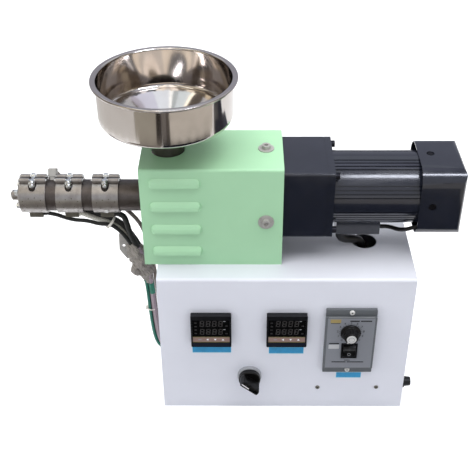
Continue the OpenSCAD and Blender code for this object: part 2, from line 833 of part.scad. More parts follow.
// Square block about the motor's axis, round at its corners and its rear edges
module hood_form(size, corner, x0, x1, bend) {
    intersection() {
        along_x(x0, x1) round_rect(size, size, corner);
        along_y(-size, size) round_end(x0, x1, size, bend);
        translate([0, 0, -size]) linear_extrude(2 * size) round_end(x0, x1, size, bend);
    }
}

// Pressed hood with rings of slots in its rear wall
module fan_cover() {
    color("darkslategray") translate([0, 0, motor_z]) difference() {
        hood_form(fan_cover_size, fan_cover_r, fan_cover_x0, fan_cover_x1, hood_bend);
        hood_form(fan_cover_inner, fan_cover_r - fan_cover_wall, fan_cover_x0 - eps,
            fan_cover_x1 - rear_wall, hood_bend - fan_cover_wall);
        vent_rings();
        for (a = [0 : 90 : 270]) rotate([a, 0, 0])
            translate([fan_cover_x0 + fan_screw_x, 0, fan_cover_inner / 2 - eps])
                cylinder(d = fan_hole_d, h = 2 * fan_cover_wall + eps);
    }
}

// One screw in the middle of each side, its head sunk in the hood's hole
module fan_cover_screws() {
    color("black") translate([0, 0, motor_z]) for (a = [0 : 90 : 270]) rotate([a, 0, 0])
        translate([fan_cover_x0 + fan_screw_x, 0, fan_cover_inner / 2]) {
            cylinder(d = fan_head_d, h = fan_cover_wall - 0.3);
            translate([0, 0, -5]) cylinder(d = fan_screw_d - 0.1, h = 5);
        }
}

// Ring slots cut through the rear wall, bridged by four ribs
module vent_rings() {
    for (r = [10, 17, 24, 31]) difference() {
        x_cylinder(2 * r + 3, fan_cover_x1 - 4, fan_cover_x1 + eps);
        x_cylinder(2 * r - 1, fan_cover_x1 - 5, fan_cover_x1 + 2 * eps);
        for (a = [45, 135]) rotate([a, 0, 0])
            translate([fan_cover_x1 - 5, -2.5, -r - 4]) cube([8, 5, 2 * r + 8]);
    }
}

// Seven-blade fan on the motor's rear shaft
module cooling_fan() {
    hub_x0 = shield_x1 + 2;
    color("black") translate([0, 0, motor_z]) difference() {
        union() {
            x_cylinder(26, hub_x0, hub_x0 + 14);
            x_cylinder(60, hub_x0, hub_x0 + 2);
            for (k = [0 : 6]) rotate([k * 360 / 7, 0, 0])
                translate([hub_x0, -0.8, 11]) cube([14, 1.6, 23]);
        }
        x_cylinder(fan_shaft_d, hub_x0 - eps, hub_x0 + 16);
    }
}

// Connection box under the motor, where its lead comes out
box_x0 = 59;
box_x1 = 110;
box_w = 40;
box_z0 = motor_z - motor_d / 2 - 13.5;
module terminal_box() {
    color("darkslategray") difference() {
        translate([0, 0, (box_z0 + motor_z) / 2])
            along_x(box_x0, box_x1) round_rect(box_w, motor_z - box_z0, 3);
        translate([0, 0, motor_z]) x_cylinder(motor_d, box_x0 - eps, box_x1 + eps);
    }
}

module motor_lead() { color("black") tube(lead_path, lead_d, 3, 12); }
module fan_lead() { color("black") tube(fan_lead_path, fan_lead_d, 3, 10); }

// ---------- barrel ----------

// Stands a piece on the barrel's skin between the first two bands, sunk by 1 mm
module at_sensor() {
    translate([sensor_x, 0, shaft_z]) rotate([-sensor_lean, 0, 0])
        translate([0, 0, barrel_d / 2 - 1]) children();
}

// The sensor screws into a spot face between the first two bands
module barrel() {
    color("dimgray") difference() {
        translate([0, 0, shaft_z]) x_cylinder(barrel_d, barrel_x0, barrel_x1 + barrel_in);
        at_sensor() cylinder(d = sensor_d / cos(30) + fit_gap, h = 2);
    }
}

end_bolt_pcd = barrel_d - 12;
end_bolt_size = 6;
end_bolt_h = 4;

module end_plate() {
    color("gray") translate([0, 0, shaft_z])
        translate([barrel_x0 - end_t, 0, 0]) rotate([0, 90, 0]) rotate_extrude()
            polygon([[0, 0], [end_d / 2 - 1, 0], [end_d / 2, 1], [end_d / 2, end_t], [0, end_t]]);
}

module nozzle() {
    x1 = barrel_x0 - end_t;
    color("darkgray") translate([x1, 0, shaft_z]) rotate([0, -90, 0]) difference() {
        rotate_extrude() polygon([[0, 0], [nozzle_d / 2, 0], [nozzle_d / 2, nozzle_len - 2],
            [nozzle_tip, nozzle_len], [0, nozzle_len]]);
        translate([0, 0, 1]) cylinder(d = die_d, h = nozzle_len);
    }
}

module end_bolts() {
    color("silver") translate([barrel_x0 - end_t, 0, shaft_z])
        for (a = [45 : 90 : 315]) rotate([a, 0, 0]) translate([0, 0, end_bolt_pcd / 2])
            rotate([0, -90, 0]) cylinder(d = end_bolt_size / cos(30), h = end_bolt_h, $fn = 6);
}

sensor_d = 9;
sensor_h = 4.5;
sensor_head = 10;
sensor_head_h = 9;
sensor_head_r = 1.5;
sensor_x = band_left(1) + band_w + (band_pitch - band_w) / 2;
// How far the sensor leans back round the barrel
sensor_lean = 28;

// Strap heater: a split ring whose ends roll into eyes for the clamp rods
function band_left(n) = band_x0 + (n - 1) * band_pitch;

module band_heater(n) {
    x0 = band_left(n);
    x1 = x0 + band_w;
    color("silver") translate([0, 0, shaft_z]) difference() {
        union() {
            difference() {
                x_cylinder(2 * band_ro, x0, x1);
                translate([x0 - eps, -band_gap / 2, 0])
                    cube([band_w + 2 * eps, band_gap, band_ro + eps]);
            }
            for (s = [-1, 1]) translate([0, s * eye_y, eye_z]) x_cylinder(2 * eye_r, x0, x1);
        }
        x_cylinder(2 * band_ri, x0 - eps, x1 + eps);
        for (s = [-1, 1]) {
            translate([0, s * eye_y, eye_z]) x_cylinder(2 * rod_r, x0 - eps, x1 + eps);
            translate([x0 + band_w / 2 - slot_r, s * eye_y - 5, eye_z - eye_r - 1])
                cube([2 * slot_r, 10, 2 * eye_r + 2]);
        }
        // Round window in each end of the strap, where the clamp bolt's head sits
        translate([x0 + band_w / 2, band_ro, eye_z - slot_low]) rotate([90, 0, 0])
            cylinder(r = slot_r + 0.9, h = 2 * band_ro);
    }
}

module band_heater_1() { band_heater(1); }
module band_heater_2() { band_heater(2); }
module band_heater_3() { band_heater(3); }

// Two rods in the eyes: an eye bolt hangs on the back one and passes through the
// front one, where a round nut draws them together
module heater_clamps() {
    ring_r = 4.2;
    ring_w = 4.5;
    bolt_r = 2.2;
    nut_r = 4;
    nut_y = -eye_y - eye_r - 0.3;
    color("gainsboro") for (n = [1 : 3]) {
        x0 = band_left(n);
        xm = x0 + band_w / 2;
        translate([0, 0, shaft_z + eye_z]) {
            for (s = [-1, 1]) translate([0, s * eye_y, 0])
                x_cylinder(2 * rod_r, x0 - rod_over, x0 + band_w + rod_over);
            translate([0, eye_y, 0]) x_cylinder(2 * ring_r, xm - ring_w / 2, xm + ring_w / 2);
            translate([xm, eye_y, 0]) rotate([90, 0, 0]) {
                cylinder(r = bolt_r, h = eye_y - nut_y + 1);
                translate([0, 0, eye_y - nut_y]) rotate_extrude() polygon([[0, 0], [nut_r - 0.8, 0],
                    [nut_r, 0.8], [nut_r, 3.4], [nut_r - 0.6, 4.8], [nut_r - 2, 5.8], [0, 6.2]]);
            }
        }
    }
}

// Sheet boxes under the bands, over the heaters' terminals
module terminal_caps() {
    color("gray") for (n = [1 : 3]) {
        xm = band_left(n) + band_w / 2 + cap_shift;
        translate([0, 0, shaft_z]) difference() {
            translate([xm - cap_len / 2, -cap_w / 2, -band_ro - cap_drop])
                cube([cap_len, cap_w, cap_drop + 4]);
            x_cylinder(2 * band_ro, xm - cap_len, xm + cap_len);
        }
    }
}

// Stands an (X, Z) run up at one depth
function at_depth(run, y) = [for (p = run) [p[0], y, p[1]]];

module heater_leads() {
    color("dimgray") {
        tube(at_depth(concat(lead_a_start, outer_drop), lead_a_y), lead_a_d, 2, 8);
        tube(concat(lead_b_start, at_depth(outer_drop, lead_b_y)), lead_b_d, 2, 8);
        tube(at_depth(concat(lead_c1_start, inner_drop), lead_c_y), lead_c_d, 2, 8);
        tube(at_depth(concat(lead_c2_start, inner_drop), -lead_c_y), lead_c_d, 2, 8);
    }
}
module sensor_lead() { color("dimgray") tube(sensor_lead_path, sensor_lead_d, 2, 8, [1, 1, 0]); }

// Flat steel tag hanging behind the pale lead, which is tied to it
module lead_plate() {
    tag_t = 1;
    tag_y = lead_b_y + lead_b_d / 2 + 0.02;
    color("silver") along_y(tag_y, tag_y + tag_t) difference() {
        polygon([[-201, 212], [-195, 216], [-183, 198], [-180, 183], [-193, 174.5],
            [-202, 189]]);
        translate([-196, 195]) circle(d = 3.5);
    }
}

// Sensor screwed into the barrel between the first two bands, with a block head
module thermocouple() {
    color("silver") at_sensor() {
        cylinder(d = sensor_d / cos(30), h = sensor_h, $fn = 6);
        translate([0, 0, sensor_h]) linear_extrude(sensor_head_h)
            round_rect(sensor_head, sensor_head, sensor_head_r);
    }
}

// Moulded gland in the right end, where the mains lead goes in
module cord_gland() {
    x1 = cab_w / 2;
    color("black") translate([x1, gland_y, gland_z]) rotate([0, 90, 0]) difference() {
        union() {
            cylinder(d = gland_d, h = 4);
            translate([0, 0, 4]) cylinder(d1 = gland_d - 3, d2 = gland_bore + 4, h = 8);
            translate([0, 0, -6]) cylinder(d = gland_d - 4, h = 6);
        }
        translate([0, 0, -7]) cylinder(d = gland_bore, h = 22);
    }
}

cabinet_wrapper();
left_end_panel();
right_end_panel();
base_plate();
heat_controller();
heat_display();
cooling_controller();
cooling_display();
controller_keys();
speed_plate();
speed_face();
speed_knob();
speed_knob_cap();
rocker_frame();
run_rocker();
selector_collar();
selector_handle();
gear_cover();
cover_bolts();
hopper();
hopper_cone();
hopper_neck();
feed_block();
block_stand();
shaft_coupling();
gearbox_bracket();
gearbox();
motor_flange();
gearbox_bolts();
motor_body();
fan_cover();
fan_cover_screws();
cooling_fan();
terminal_box();
motor_lead();
fan_lead();
barrel();
end_plate();
nozzle();
end_bolts();
band_heater_1();
band_heater_2();
band_heater_3();
heater_clamps();
terminal_caps();
heater_leads();
sensor_lead();
lead_plate();
thermocouple();
cord_gland();
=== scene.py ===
"""Looks of the tabletop filament extruder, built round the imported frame.

Lengths in the lists below are millimetres in the frame's own axes: +X from the
nozzle to the motor, +Z up, and the operator's side is -Y. The scene is in metres.
"""

import json
import math

import bmesh
import bpy
from mathutils import Matrix, Vector, noise as field
from mathutils.bvhtree import BVHTree


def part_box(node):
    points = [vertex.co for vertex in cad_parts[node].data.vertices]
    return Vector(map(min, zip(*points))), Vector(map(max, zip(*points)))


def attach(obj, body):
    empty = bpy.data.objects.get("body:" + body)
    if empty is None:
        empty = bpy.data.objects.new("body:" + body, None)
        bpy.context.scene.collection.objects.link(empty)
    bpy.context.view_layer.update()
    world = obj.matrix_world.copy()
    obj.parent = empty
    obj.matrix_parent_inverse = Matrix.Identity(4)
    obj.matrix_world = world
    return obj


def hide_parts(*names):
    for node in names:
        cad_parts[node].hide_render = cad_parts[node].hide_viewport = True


MM = 0.001
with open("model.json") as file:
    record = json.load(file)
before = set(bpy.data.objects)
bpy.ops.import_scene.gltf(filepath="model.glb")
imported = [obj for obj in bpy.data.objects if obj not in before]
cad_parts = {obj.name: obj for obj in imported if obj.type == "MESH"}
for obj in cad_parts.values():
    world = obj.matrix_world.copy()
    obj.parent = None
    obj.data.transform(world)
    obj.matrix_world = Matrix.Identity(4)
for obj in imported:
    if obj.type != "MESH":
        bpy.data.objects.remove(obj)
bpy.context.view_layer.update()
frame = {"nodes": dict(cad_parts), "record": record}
NODES = frame["nodes"]

# Bodies of the record
MACHINE, SELECTOR, DIAL, ROCKER = "machine", "selector", "speed_dial", "rocker"

# Thickness of a painted line, a coat of ink, a film and a stuck-on label
PAINT, INK, FILM, LABEL = 0.02, 0.05, 0.1, 0.15


# ---------- small tools ----------


def linear(code):
    """An sRGB colour written as six hex digits, turned to opaque linear RGBA."""
    channels = [int(code[i : i + 2], 16) / 255 for i in (0, 2, 4)]
    low = [c / 12.92 if c <= 0.04045 else ((c + 0.055) / 1.055) ** 2.4 for c in channels]
    return (*low, 1.0)


def add(tree, kind, settings=None, **links):
    """Adds a shader node: settings are its properties or sockets, links come from other sockets.

    A link names the input that it feeds, or counts to it: i2 is the third input.
    """
    made = tree.nodes.new(kind)
    for name, value in (settings or {}).items():
        if isinstance(name, str) and hasattr(made, name):
            setattr(made, name, value)
        else:
            made.inputs[name].default_value = value
    for name, source in links.items():
        key = int(name[1:]) if name[0] == "i" and name[1:].isdigit() else name.replace("_", " ")
        tree.links.new(source, made.inputs[key])
    return made


def new_material(name):
    """An empty node material and its node tree."""
    made = bpy.data.materials.new(name)
    made.use_nodes = True
    made.node_tree.nodes.clear()
    return made, made.node_tree


def per(size):
    """Texture scale that gives a pattern the grain size, in millimetres."""
    return 1 / (size * MM)


# ---------- materials ----------


def clouded(tree, coords, size, colour, shade):
    """Two close tones that drift into each other over size millimetres: the tone, and the share of shade in it."""
    cloud = add(tree, "ShaderNodeTexNoise", {"Scale": per(size), "Detail": 3.0}, Vector=coords)
    even = add(tree, "ShaderNodeMapRange", {"From Min": 0.3, "From Max": 0.7}, Value=cloud.outputs["Fac"])
    tone = add(tree, "ShaderNodeMix", {"data_type": "RGBA", 6: linear(colour), 7: linear(shade)}, i0=even.outputs[0])
    return tone.outputs[2], even.outputs[0]


def powder_coat(name, colour, shade):
    """Powder-coated sheet steel: an even satin film with a fine orange peel."""
    made, tree = new_material(name)
    coords = add(tree, "ShaderNodeTexCoord").outputs["Object"]
    film, _ = clouded(tree, coords, 70, colour, shade)
    smear = add(tree, "ShaderNodeTexNoise", {"Scale": per(14), "Detail": 3.0}, Vector=coords)
    satin = {"From Min": 0.3, "From Max": 0.7, "To Min": 0.36, "To Max": 0.48}
    rough = add(tree, "ShaderNodeMapRange", satin, Value=smear.outputs["Fac"])
    peel = add(tree, "ShaderNodeTexNoise", {"Scale": per(1.6), "Detail": 2.0}, Vector=coords)
    skin = add(tree, "ShaderNodeBump", {"Distance": 0.05 * MM, "Strength": 0.35}, Height=peel.outputs["Fac"])
    shader = add(tree, "ShaderNodeBsdfPrincipled", {"IOR": 1.5, "Coat Weight": 0.1, "Coat Roughness": 0.25},
        Base_Color=film, Roughness=rough.outputs[0], Normal=skin.outputs[0])
    add(tree, "ShaderNodeOutputMaterial", None, Surface=shader.outputs[0])
    return made


def gloss_enamel(name, colour, shade):
    """Gloss enamel sprayed on cast aluminium: wet-looking over a soft casting skin."""
    made, tree = new_material(name)
    coords = add(tree, "ShaderNodeTexCoord").outputs["Object"]
    film, _ = clouded(tree, coords, 40, colour, shade)
    smear = add(tree, "ShaderNodeTexNoise", {"Scale": per(12), "Detail": 3.0}, Vector=coords)
    gloss = {"From Min": 0.3, "From Max": 0.7, "To Min": 0.16, "To Max": 0.26}
    rough = add(tree, "ShaderNodeMapRange", gloss, Value=smear.outputs["Fac"])
    cast = add(tree, "ShaderNodeTexNoise", {"Scale": per(5), "Detail": 2.0}, Vector=coords)
    skin = add(tree, "ShaderNodeBump", {"Distance": 0.012 * MM, "Strength": 0.4}, Height=cast.outputs["Fac"])
    shader = add(tree, "ShaderNodeBsdfPrincipled", {"IOR": 1.5, "Coat Weight": 0.4, "Coat Roughness": 0.08},
        Base_Color=film, Roughness=rough.outputs[0], Normal=skin.outputs[0])
    add(tree, "ShaderNodeOutputMaterial", None, Surface=shader.outputs[0])
    return made


def tooled_metal(name, colour, shade, roughness, stretch, line, depth, metallic=1.0):
    """Metal with fine tool lines: the noise is squeezed along the axis that the tool fed along."""
    made, tree = new_material(name)
    coords = add(tree, "ShaderNodeTexCoord").outputs["Object"]
    along = add(tree, "ShaderNodeMapping", {"Scale": stretch}, Vector=coords).outputs[0]
    fine = {"Scale": per(line), "Detail": 3.0, "Roughness": 0.6}
    lines = add(tree, "ShaderNodeTexNoise", fine, Vector=along).outputs["Fac"]
    cloud = add(tree, "ShaderNodeTexNoise", {"Scale": per(9), "Detail": 4.0}, Vector=coords).outputs["Fac"]
    half = add(tree, "ShaderNodeMath", {"operation": "MULTIPLY", 1: 0.5}, i0=lines).outputs[0]
    both = add(tree, "ShaderNodeMath", {"operation": "MULTIPLY_ADD", 1: 0.5}, i0=cloud, i2=half).outputs[0]
    even = add(tree, "ShaderNodeMapRange", {"From Min": 0.35, "From Max": 0.65}, Value=both)
    tone = add(tree, "ShaderNodeMix", {"data_type": "RGBA", 6: linear(colour), 7: linear(shade)}, i0=even.outputs[0])
    worn = {"From Min": 0.3, "From Max": 0.7, "To Min": roughness * 0.75, "To Max": roughness * 1.3}
    rough = add(tree, "ShaderNodeMapRange", worn, Value=both)
    skin = add(tree, "ShaderNodeBump", {"Distance": depth * MM, "Strength": 0.6}, Height=lines)
    shader = add(tree, "ShaderNodeBsdfPrincipled", {"Metallic": metallic},
        Base_Color=tone.outputs[2], Roughness=rough.outputs[0], Normal=skin.outputs[0])
    add(tree, "ShaderNodeOutputMaterial", None, Surface=shader.outputs[0])
    return made


def moulded_plastic(name, colour, roughness, grain=0.7, depth=0.03, coat=0.0, shade=None, specular=0.5):
    """Moulded plastic, film or ink: slightly mottled, with the light grain of a spark-eroded mould."""
    made, tree = new_material(name)
    coords = add(tree, "ShaderNodeTexCoord").outputs["Object"]
    tone, share = clouded(tree, coords, 6, colour, shade or colour)
    worn = {"To Min": roughness - 0.05, "To Max": roughness + 0.07}
    rough = add(tree, "ShaderNodeMapRange", worn, Value=share)
    spark = add(tree, "ShaderNodeTexNoise", {"Scale": per(grain), "Detail": 2.0}, Vector=coords)
    skin = add(tree, "ShaderNodeBump", {"Distance": depth * MM, "Strength": 0.5}, Height=spark.outputs["Fac"])
    gloss = {"IOR": 1.49, "Specular IOR Level": specular, "Coat Weight": coat, "Coat Roughness": 0.08}
    shader = add(tree, "ShaderNodeBsdfPrincipled", gloss,
        Base_Color=tone, Roughness=rough.outputs[0], Normal=skin.outputs[0])
    add(tree, "ShaderNodeOutputMaterial", None, Surface=shader.outputs[0])
    return made


def woven_sleeve(name, colour, shade, thread=0.8, roughness=0.7):
    """Braided glass-fibre sleeving: two sets of threads crossing aslant, drawn as fine waves."""
    made, tree = new_material(name)
    coords = add(tree, "ShaderNodeTexCoord").outputs["Object"]
    heights = []
    for slant in (0.7, -0.7):
        aslant = add(tree, "ShaderNodeMapping", {"Rotation": (slant, slant, slant)}, Vector=coords)
        # The wave texture repeats every pi / 10; two threads a wave, because one is too fine to show
        settings = {"Scale": math.pi / 10 * per(thread) / 2, "Distortion": 0.6}
        heights.append(add(tree, "ShaderNodeTexWave", settings, Vector=aslant.outputs[0]).outputs["Fac"])
    weave = add(tree, "ShaderNodeMath", {"operation": "MAXIMUM"}, i0=heights[0], i1=heights[1]).outputs[0]
    tone = add(tree, "ShaderNodeMix", {"data_type": "RGBA", 6: linear(shade), 7: linear(colour)}, i0=weave)
    skin = add(tree, "ShaderNodeBump", {"Distance": 0.15 * MM, "Strength": 0.8}, Height=weave)
    fuzz = {"IOR": 1.5, "Sheen Weight": 0.15, "Roughness": roughness}
    shader = add(tree, "ShaderNodeBsdfPrincipled", fuzz, Base_Color=tone.outputs[2], Normal=skin.outputs[0])
    add(tree, "ShaderNodeOutputMaterial", None, Surface=shader.outputs[0])
    return made


def spun_steel(name, colour, shade):
    """Spun 304 stainless, buffed bright: faint rings left by spinning round the hopper's axis."""
    made, tree = new_material(name)
    coords = add(tree, "ShaderNodeTexCoord").outputs["Object"]
    low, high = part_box("hopper")
    middle = Vector(((low[0] + high[0]) / 2, 0, 0))
    out = add(tree, "ShaderNodeVectorMath", {"operation": "SUBTRACT", 1: middle}, i0=coords).outputs[0]
    split = add(tree, "ShaderNodeSeparateXYZ", None, Vector=out)
    flat = add(tree, "ShaderNodeCombineXYZ", None, X=split.outputs[0], Y=split.outputs[1])
    radius = add(tree, "ShaderNodeVectorMath", {"operation": "LENGTH"}, i0=flat.outputs[0])
    rings = add(tree, "ShaderNodeCombineXYZ", None, X=radius.outputs["Value"], Y=split.outputs[2])
    spun = add(tree, "ShaderNodeTexNoise", {"Scale": per(2.2), "Detail": 2.0}, Vector=rings.outputs[0])
    tone, share = clouded(tree, coords, 25, colour, shade)
    rough = add(tree, "ShaderNodeMapRange", {"To Min": 0.07, "To Max": 0.12}, Value=share)
    skin = add(tree, "ShaderNodeBump", {"Distance": 0.002 * MM, "Strength": 0.3}, Height=spun.outputs["Fac"])
    shader = add(tree, "ShaderNodeBsdfPrincipled", {"Metallic": 1.0},
        Base_Color=tone, Roughness=rough.outputs[0], Normal=skin.outputs[0])
    add(tree, "ShaderNodeOutputMaterial", None, Surface=shader.outputs[0])
    return made


MATERIALS = {
    # Polyester powder coat, baked: cool white on the cabinet
    "white_coat": powder_coat("powder_coated_steel_white", "DEE0E9", "DADCE5"),
    # Polyester powder coat, baked: mint green on the gear cover
    "green_coat": powder_coat("powder_coated_steel_mint", "A8D7AD", "A3D2A9"),
    # Blue-black enamel over die-cast aluminium
    "motor_enamel": gloss_enamel("enamelled_cast_aluminium", "1E212C", "181B25"),
    # Spun stainless sheet, buffed: mirror-like and a little warm
    "stainless": spun_steel("spun_stainless_steel", "CFC9C4", "C8C1BB"),
    # Rolled stainless strip, brushed round the barrel and dulled by heat
    "band_steel": tooled_metal("brushed_strip_steel", "B9B6B4", "938E8B", 0.32, (5, 1, 1), 0.5, 0.012),
    # Bright zinc plate over pressed steel
    "zinc": tooled_metal("zinc_plated_steel", "E2E5E6", "C9CCCE", 0.22, (1, 1, 1), 1.2, 0.008),
    # Steel turned on a lathe, browned by heat: rings round the X axis
    "dark_steel": tooled_metal("heat_browned_turned_steel", "6F6967", "57514E", 0.42, (14, 1, 1), 0.6, 0.02),
    # ABS, moulded black: a plain satin with soft highlights
    "black_plastic": moulded_plastic("moulded_abs_black", "101115", 0.38, specular=0.35),
    # Smoked acrylic, polished: nearly black, with clear reflections
    "smoked_window": moulded_plastic("smoked_acrylic_sheet", "090909", 0.16, 3.0, 0.002, specular=0.3),
    # Printed polyester films, flat and satin: brown behind the keys, grey on the speed unit
    "key_film": moulded_plastic("printed_key_film", "8A7067", 0.5, 0.5, 0.01),
    "speed_face_film": moulded_plastic("brushed_grey_face_film", "7F8289", 0.45, 0.5, 0.01),
    # ABS, moulded dark grey: dull, with a fine grain
    "speed_frame_plastic": moulded_plastic("moulded_abs_dark_grey", "5D6165", 0.5),
    # Polyamide, moulded light grey: dull
    "grey_plastic": moulded_plastic("moulded_polyamide_light_grey", "96989E", 0.5),
    # PVC lead sheath, extruded: black with a soft sheen along its length
    "lead_rubber": moulded_plastic("extruded_pvc_black", "0E0E10", 0.38, 1.2, 0.02, 0.1, specular=0.35),
}

# Finishes that a slot's pieces need beside its own, each with the slot that it belongs to
EXTRA = {
    # Vinyl label film: blue ground inside a paler cut edge
    "label_blue": (moulded_plastic("vinyl_label_blue", "2F98CC", 0.4, 0.8, 0.005, 0.2, "2B8FBF"), "key_film"),
    "label_edge": (moulded_plastic("vinyl_label_border", "8FCFE0", 0.45, 0.8, 0.005), "key_film"),
    # Epoxy over unlit diodes, behind the smoked window: barely lighter than it
    "unlit_digits": (moulded_plastic("unlit_led_segments", "322F2F", 0.5, 0.6, 0.005), "smoked_window"),
    "faint_digits": (moulded_plastic("unlit_led_lamps", "2C2B2C", 0.5, 0.6, 0.005), "smoked_window"),
    # Screen-printed inks, matt
    "white_ink": (moulded_plastic("screen_printed_white_ink", "E8E9EA", 0.55, 0.4, 0.005), "key_film"),
    "grey_ink": (moulded_plastic("screen_printed_grey_ink", "8D8F92", 0.55, 0.4, 0.005), "key_film"),
    "olive_ink": (moulded_plastic("screen_printed_olive_ink", "6A6638", 0.55, 0.4, 0.005), "key_film"),
    "pale_ink": (moulded_plastic("screen_printed_pale_ink", "B4B6B8", 0.55, 0.4, 0.005), "speed_face_film"),
    "black_ink": (moulded_plastic("screen_printed_black_ink", "1C1E22", 0.55, 0.4, 0.005), "speed_face_film"),
    # Printed polyester films, satin
    "navy_film": (moulded_plastic("navy_bezel_film", "171C2A", 0.35, 0.5, 0.005, specular=0.3), "smoked_window"),
    "mustard_film": (moulded_plastic("mustard_printed_patch", "9E8B55", 0.5, 0.5, 0.005), "speed_face_film"),
    # Nylon: translucent white, moulded
    "nylon": (moulded_plastic("moulded_nylon_white", "E6E3DA", 0.42, 0.6, 0.01, 0.1, "DCD8CD"), "grey_plastic"),
    # Phenolic, moulded and polished: the knob, the switch and the rocker
    "knob_black": (
        moulded_plastic("moulded_phenolic_black", "060607", 0.3, 0.9, 0.01, specular=0.3), "black_plastic"),
    # Aluminium, turned and clear anodised: pale and soft, so it stays light over a dark bench
    "pale_cap": (
        tooled_metal("anodised_aluminium_cap", "E6E6E4", "D2D2D0", 0.45, (1, 1, 1), 0.8, 0.006, metallic=0.35), "zinc"),
    # Steel with a black oxide bath: nearly black, oily sheen
    "black_oxide": (
        tooled_metal("black_oxide_steel", "34343A", "232327", 0.38, (1, 1, 1), 0.8, 0.01), "dark_steel"),
    # Folded strip steel, dull with an olive bloom
    "dull_strip": (
        tooled_metal("dull_folded_strip_steel", "8B8980", "74726A", 0.5, (1, 1, 1), 0.9, 0.01), "band_steel"),
    # Zinc-plated sheet gone dull: pale, with little mirror left in it
    "dull_zinc": (
        tooled_metal("dull_zinc_sheet", "BCBAB6", "A5A39F", 0.55, (1, 1, 1), 0.9, 0.01, metallic=0.4), "zinc"),
    # Glass-fibre sleeving, covering and tape, woven: matt, with crossing threads
    "pale_sleeve": (woven_sleeve("braided_glass_sleeve_pale", "D2CFC4", "A09C90"), "lead_rubber"),
    "black_sleeve": (woven_sleeve("braided_sleeve_black", "1E1F1D", "080808", 0.9, 0.55), "lead_rubber"),
    "taupe_wire": (woven_sleeve("braided_glass_wire_taupe", "A1968D", "6E645C", 0.9), "lead_rubber"),
    "mauve_wire": (woven_sleeve("braided_glass_wire_mauve", "AD9DA5", "83747C", 0.9), "lead_rubber"),
    "tape": (woven_sleeve("woven_glass_tape", "9C968E", "6B655E", 1.1, 0.75), "lead_rubber"),
    # PVC, extruded, and polyolefin heat-shrink, both teal green
    "green_wire": (
        moulded_plastic("extruded_pvc_teal_green", "1B7A62", 0.35, 1.0, 0.01, 0.3, "17695A"), "lead_rubber"),
    "heat_shrink": (moulded_plastic("heat_shrink_teal", "2E8A70", 0.45, 2.0, 0.05, 0.1, "226C58"), "lead_rubber"),
}

# Nodes whose finish differs from their slot's usual one
NODE_FINISH = {
    "gearbox_bolts": "black_oxide", "fan_cover_screws": "black_oxide",
    # The hopper's neck is spun stainless like the bowl: the dark turned steel on it paints its dark reflections
    "terminal_caps": "dull_strip", "hopper_neck": "dark_steel",
    "cover_bolts": "dull_zinc", "thermocouple": "dull_zinc", "lead_plate": "dull_zinc",
    "run_rocker": "knob_black", "selector_handle": "knob_black",
}


def finish_of(name):
    """The material of a slot or of an added finish, and the slot it belongs with."""
    return EXTRA[name] if name in EXTRA else (MATERIALS[name], name)


# ---------- shapes ----------


def rectangle(x, z, w, h):
    """Outline of a rectangle about its middle."""
    return [(x - w / 2, z - h / 2), (x + w / 2, z - h / 2), (x + w / 2, z + h / 2), (x - w / 2, z + h / 2)]


def rounded(x, z, w, h, r, steps=4):
    """Outline of a rectangle with round corners."""
    points = []
    for corner, (sx, sz) in enumerate(((1, 1), (-1, 1), (-1, -1), (1, -1))):
        for k in range(steps + 1):
            a = math.radians(90 * (corner + k / steps))
            points.append((x + sx * (w / 2 - r) + r * math.cos(a), z + sz * (h / 2 - r) + r * math.sin(a)))
    return points


def disc(x, z, r, count):
    """Outline of a circle."""
    angles = [2 * math.pi * k / count for k in range(count)]
    return [(x + r * math.cos(a), z + r * math.sin(a)) for a in angles]


def turned(outline, degrees, x=0.0, z=0.0):
    """An outline turned about the origin, then moved."""
    c, s = math.cos(math.radians(degrees)), math.sin(math.radians(degrees))
    return [(x + c * p - s * q, z + s * p + c * q) for p, q in outline]


def plate(bm, near, far):
    """Adds a closed plate between two outlines, both lists of points in metres."""
    front = [bm.verts.new(spot) for spot in near]
    back = [bm.verts.new(spot) for spot in far]
    bm.faces.new(front)
    bm.faces.new(back[::-1])
    for k in range(len(front)):
        n = (k + 1) % len(front)
        bm.faces.new((front[n], front[k], back[k], back[n]))


def prism(bm, outline, y0, y1):
    """Adds a closed prism: an (x, z) outline from y0 back to y1."""
    near, far = ([(x * MM, y * MM, z * MM) for x, z in outline] for y in (y0, y1))
    plate(bm, near, far)


def loop(bm, place, radius, height, count):
    """Adds a ring of vertices round the local Z axis of place."""
    return [bm.verts.new(place @ Vector((x * MM, y * MM, height * MM))) for x, y in disc(0, 0, radius, count)]


def bridge(bm, rings):
    """Joins each ring of vertices to the next one."""
    for low, high in zip(rings, rings[1:]):
        for k in range(len(low)):
            n = (k + 1) % len(low)
            bm.faces.new((low[k], low[n], high[n], high[k]))


def lathe(bm, profile, place, count):
    """Adds a solid of revolution: (radius, height) points along the local Z axis of place."""
    rings = [loop(bm, place, radius, height, count if radius else 1) for radius, height in profile]
    for low, high in zip(rings, rings[1:]):
        for k in range(count):
            n = (k + 1) % count
            corners = [low[k % len(low)], low[n % len(low)], high[n % len(high)], high[k % len(high)]]
            unique = list(dict.fromkeys(corners))
            if len(unique) > 2:
                bm.faces.new(unique)


def facing(place, out):
    """A frame at place, in millimetres, whose Z axis points along out."""
    turn = Vector(out).to_track_quat("Z", "Y").to_matrix().to_4x4()
    return Matrix.Translation(Vector(place) * MM) @ turn


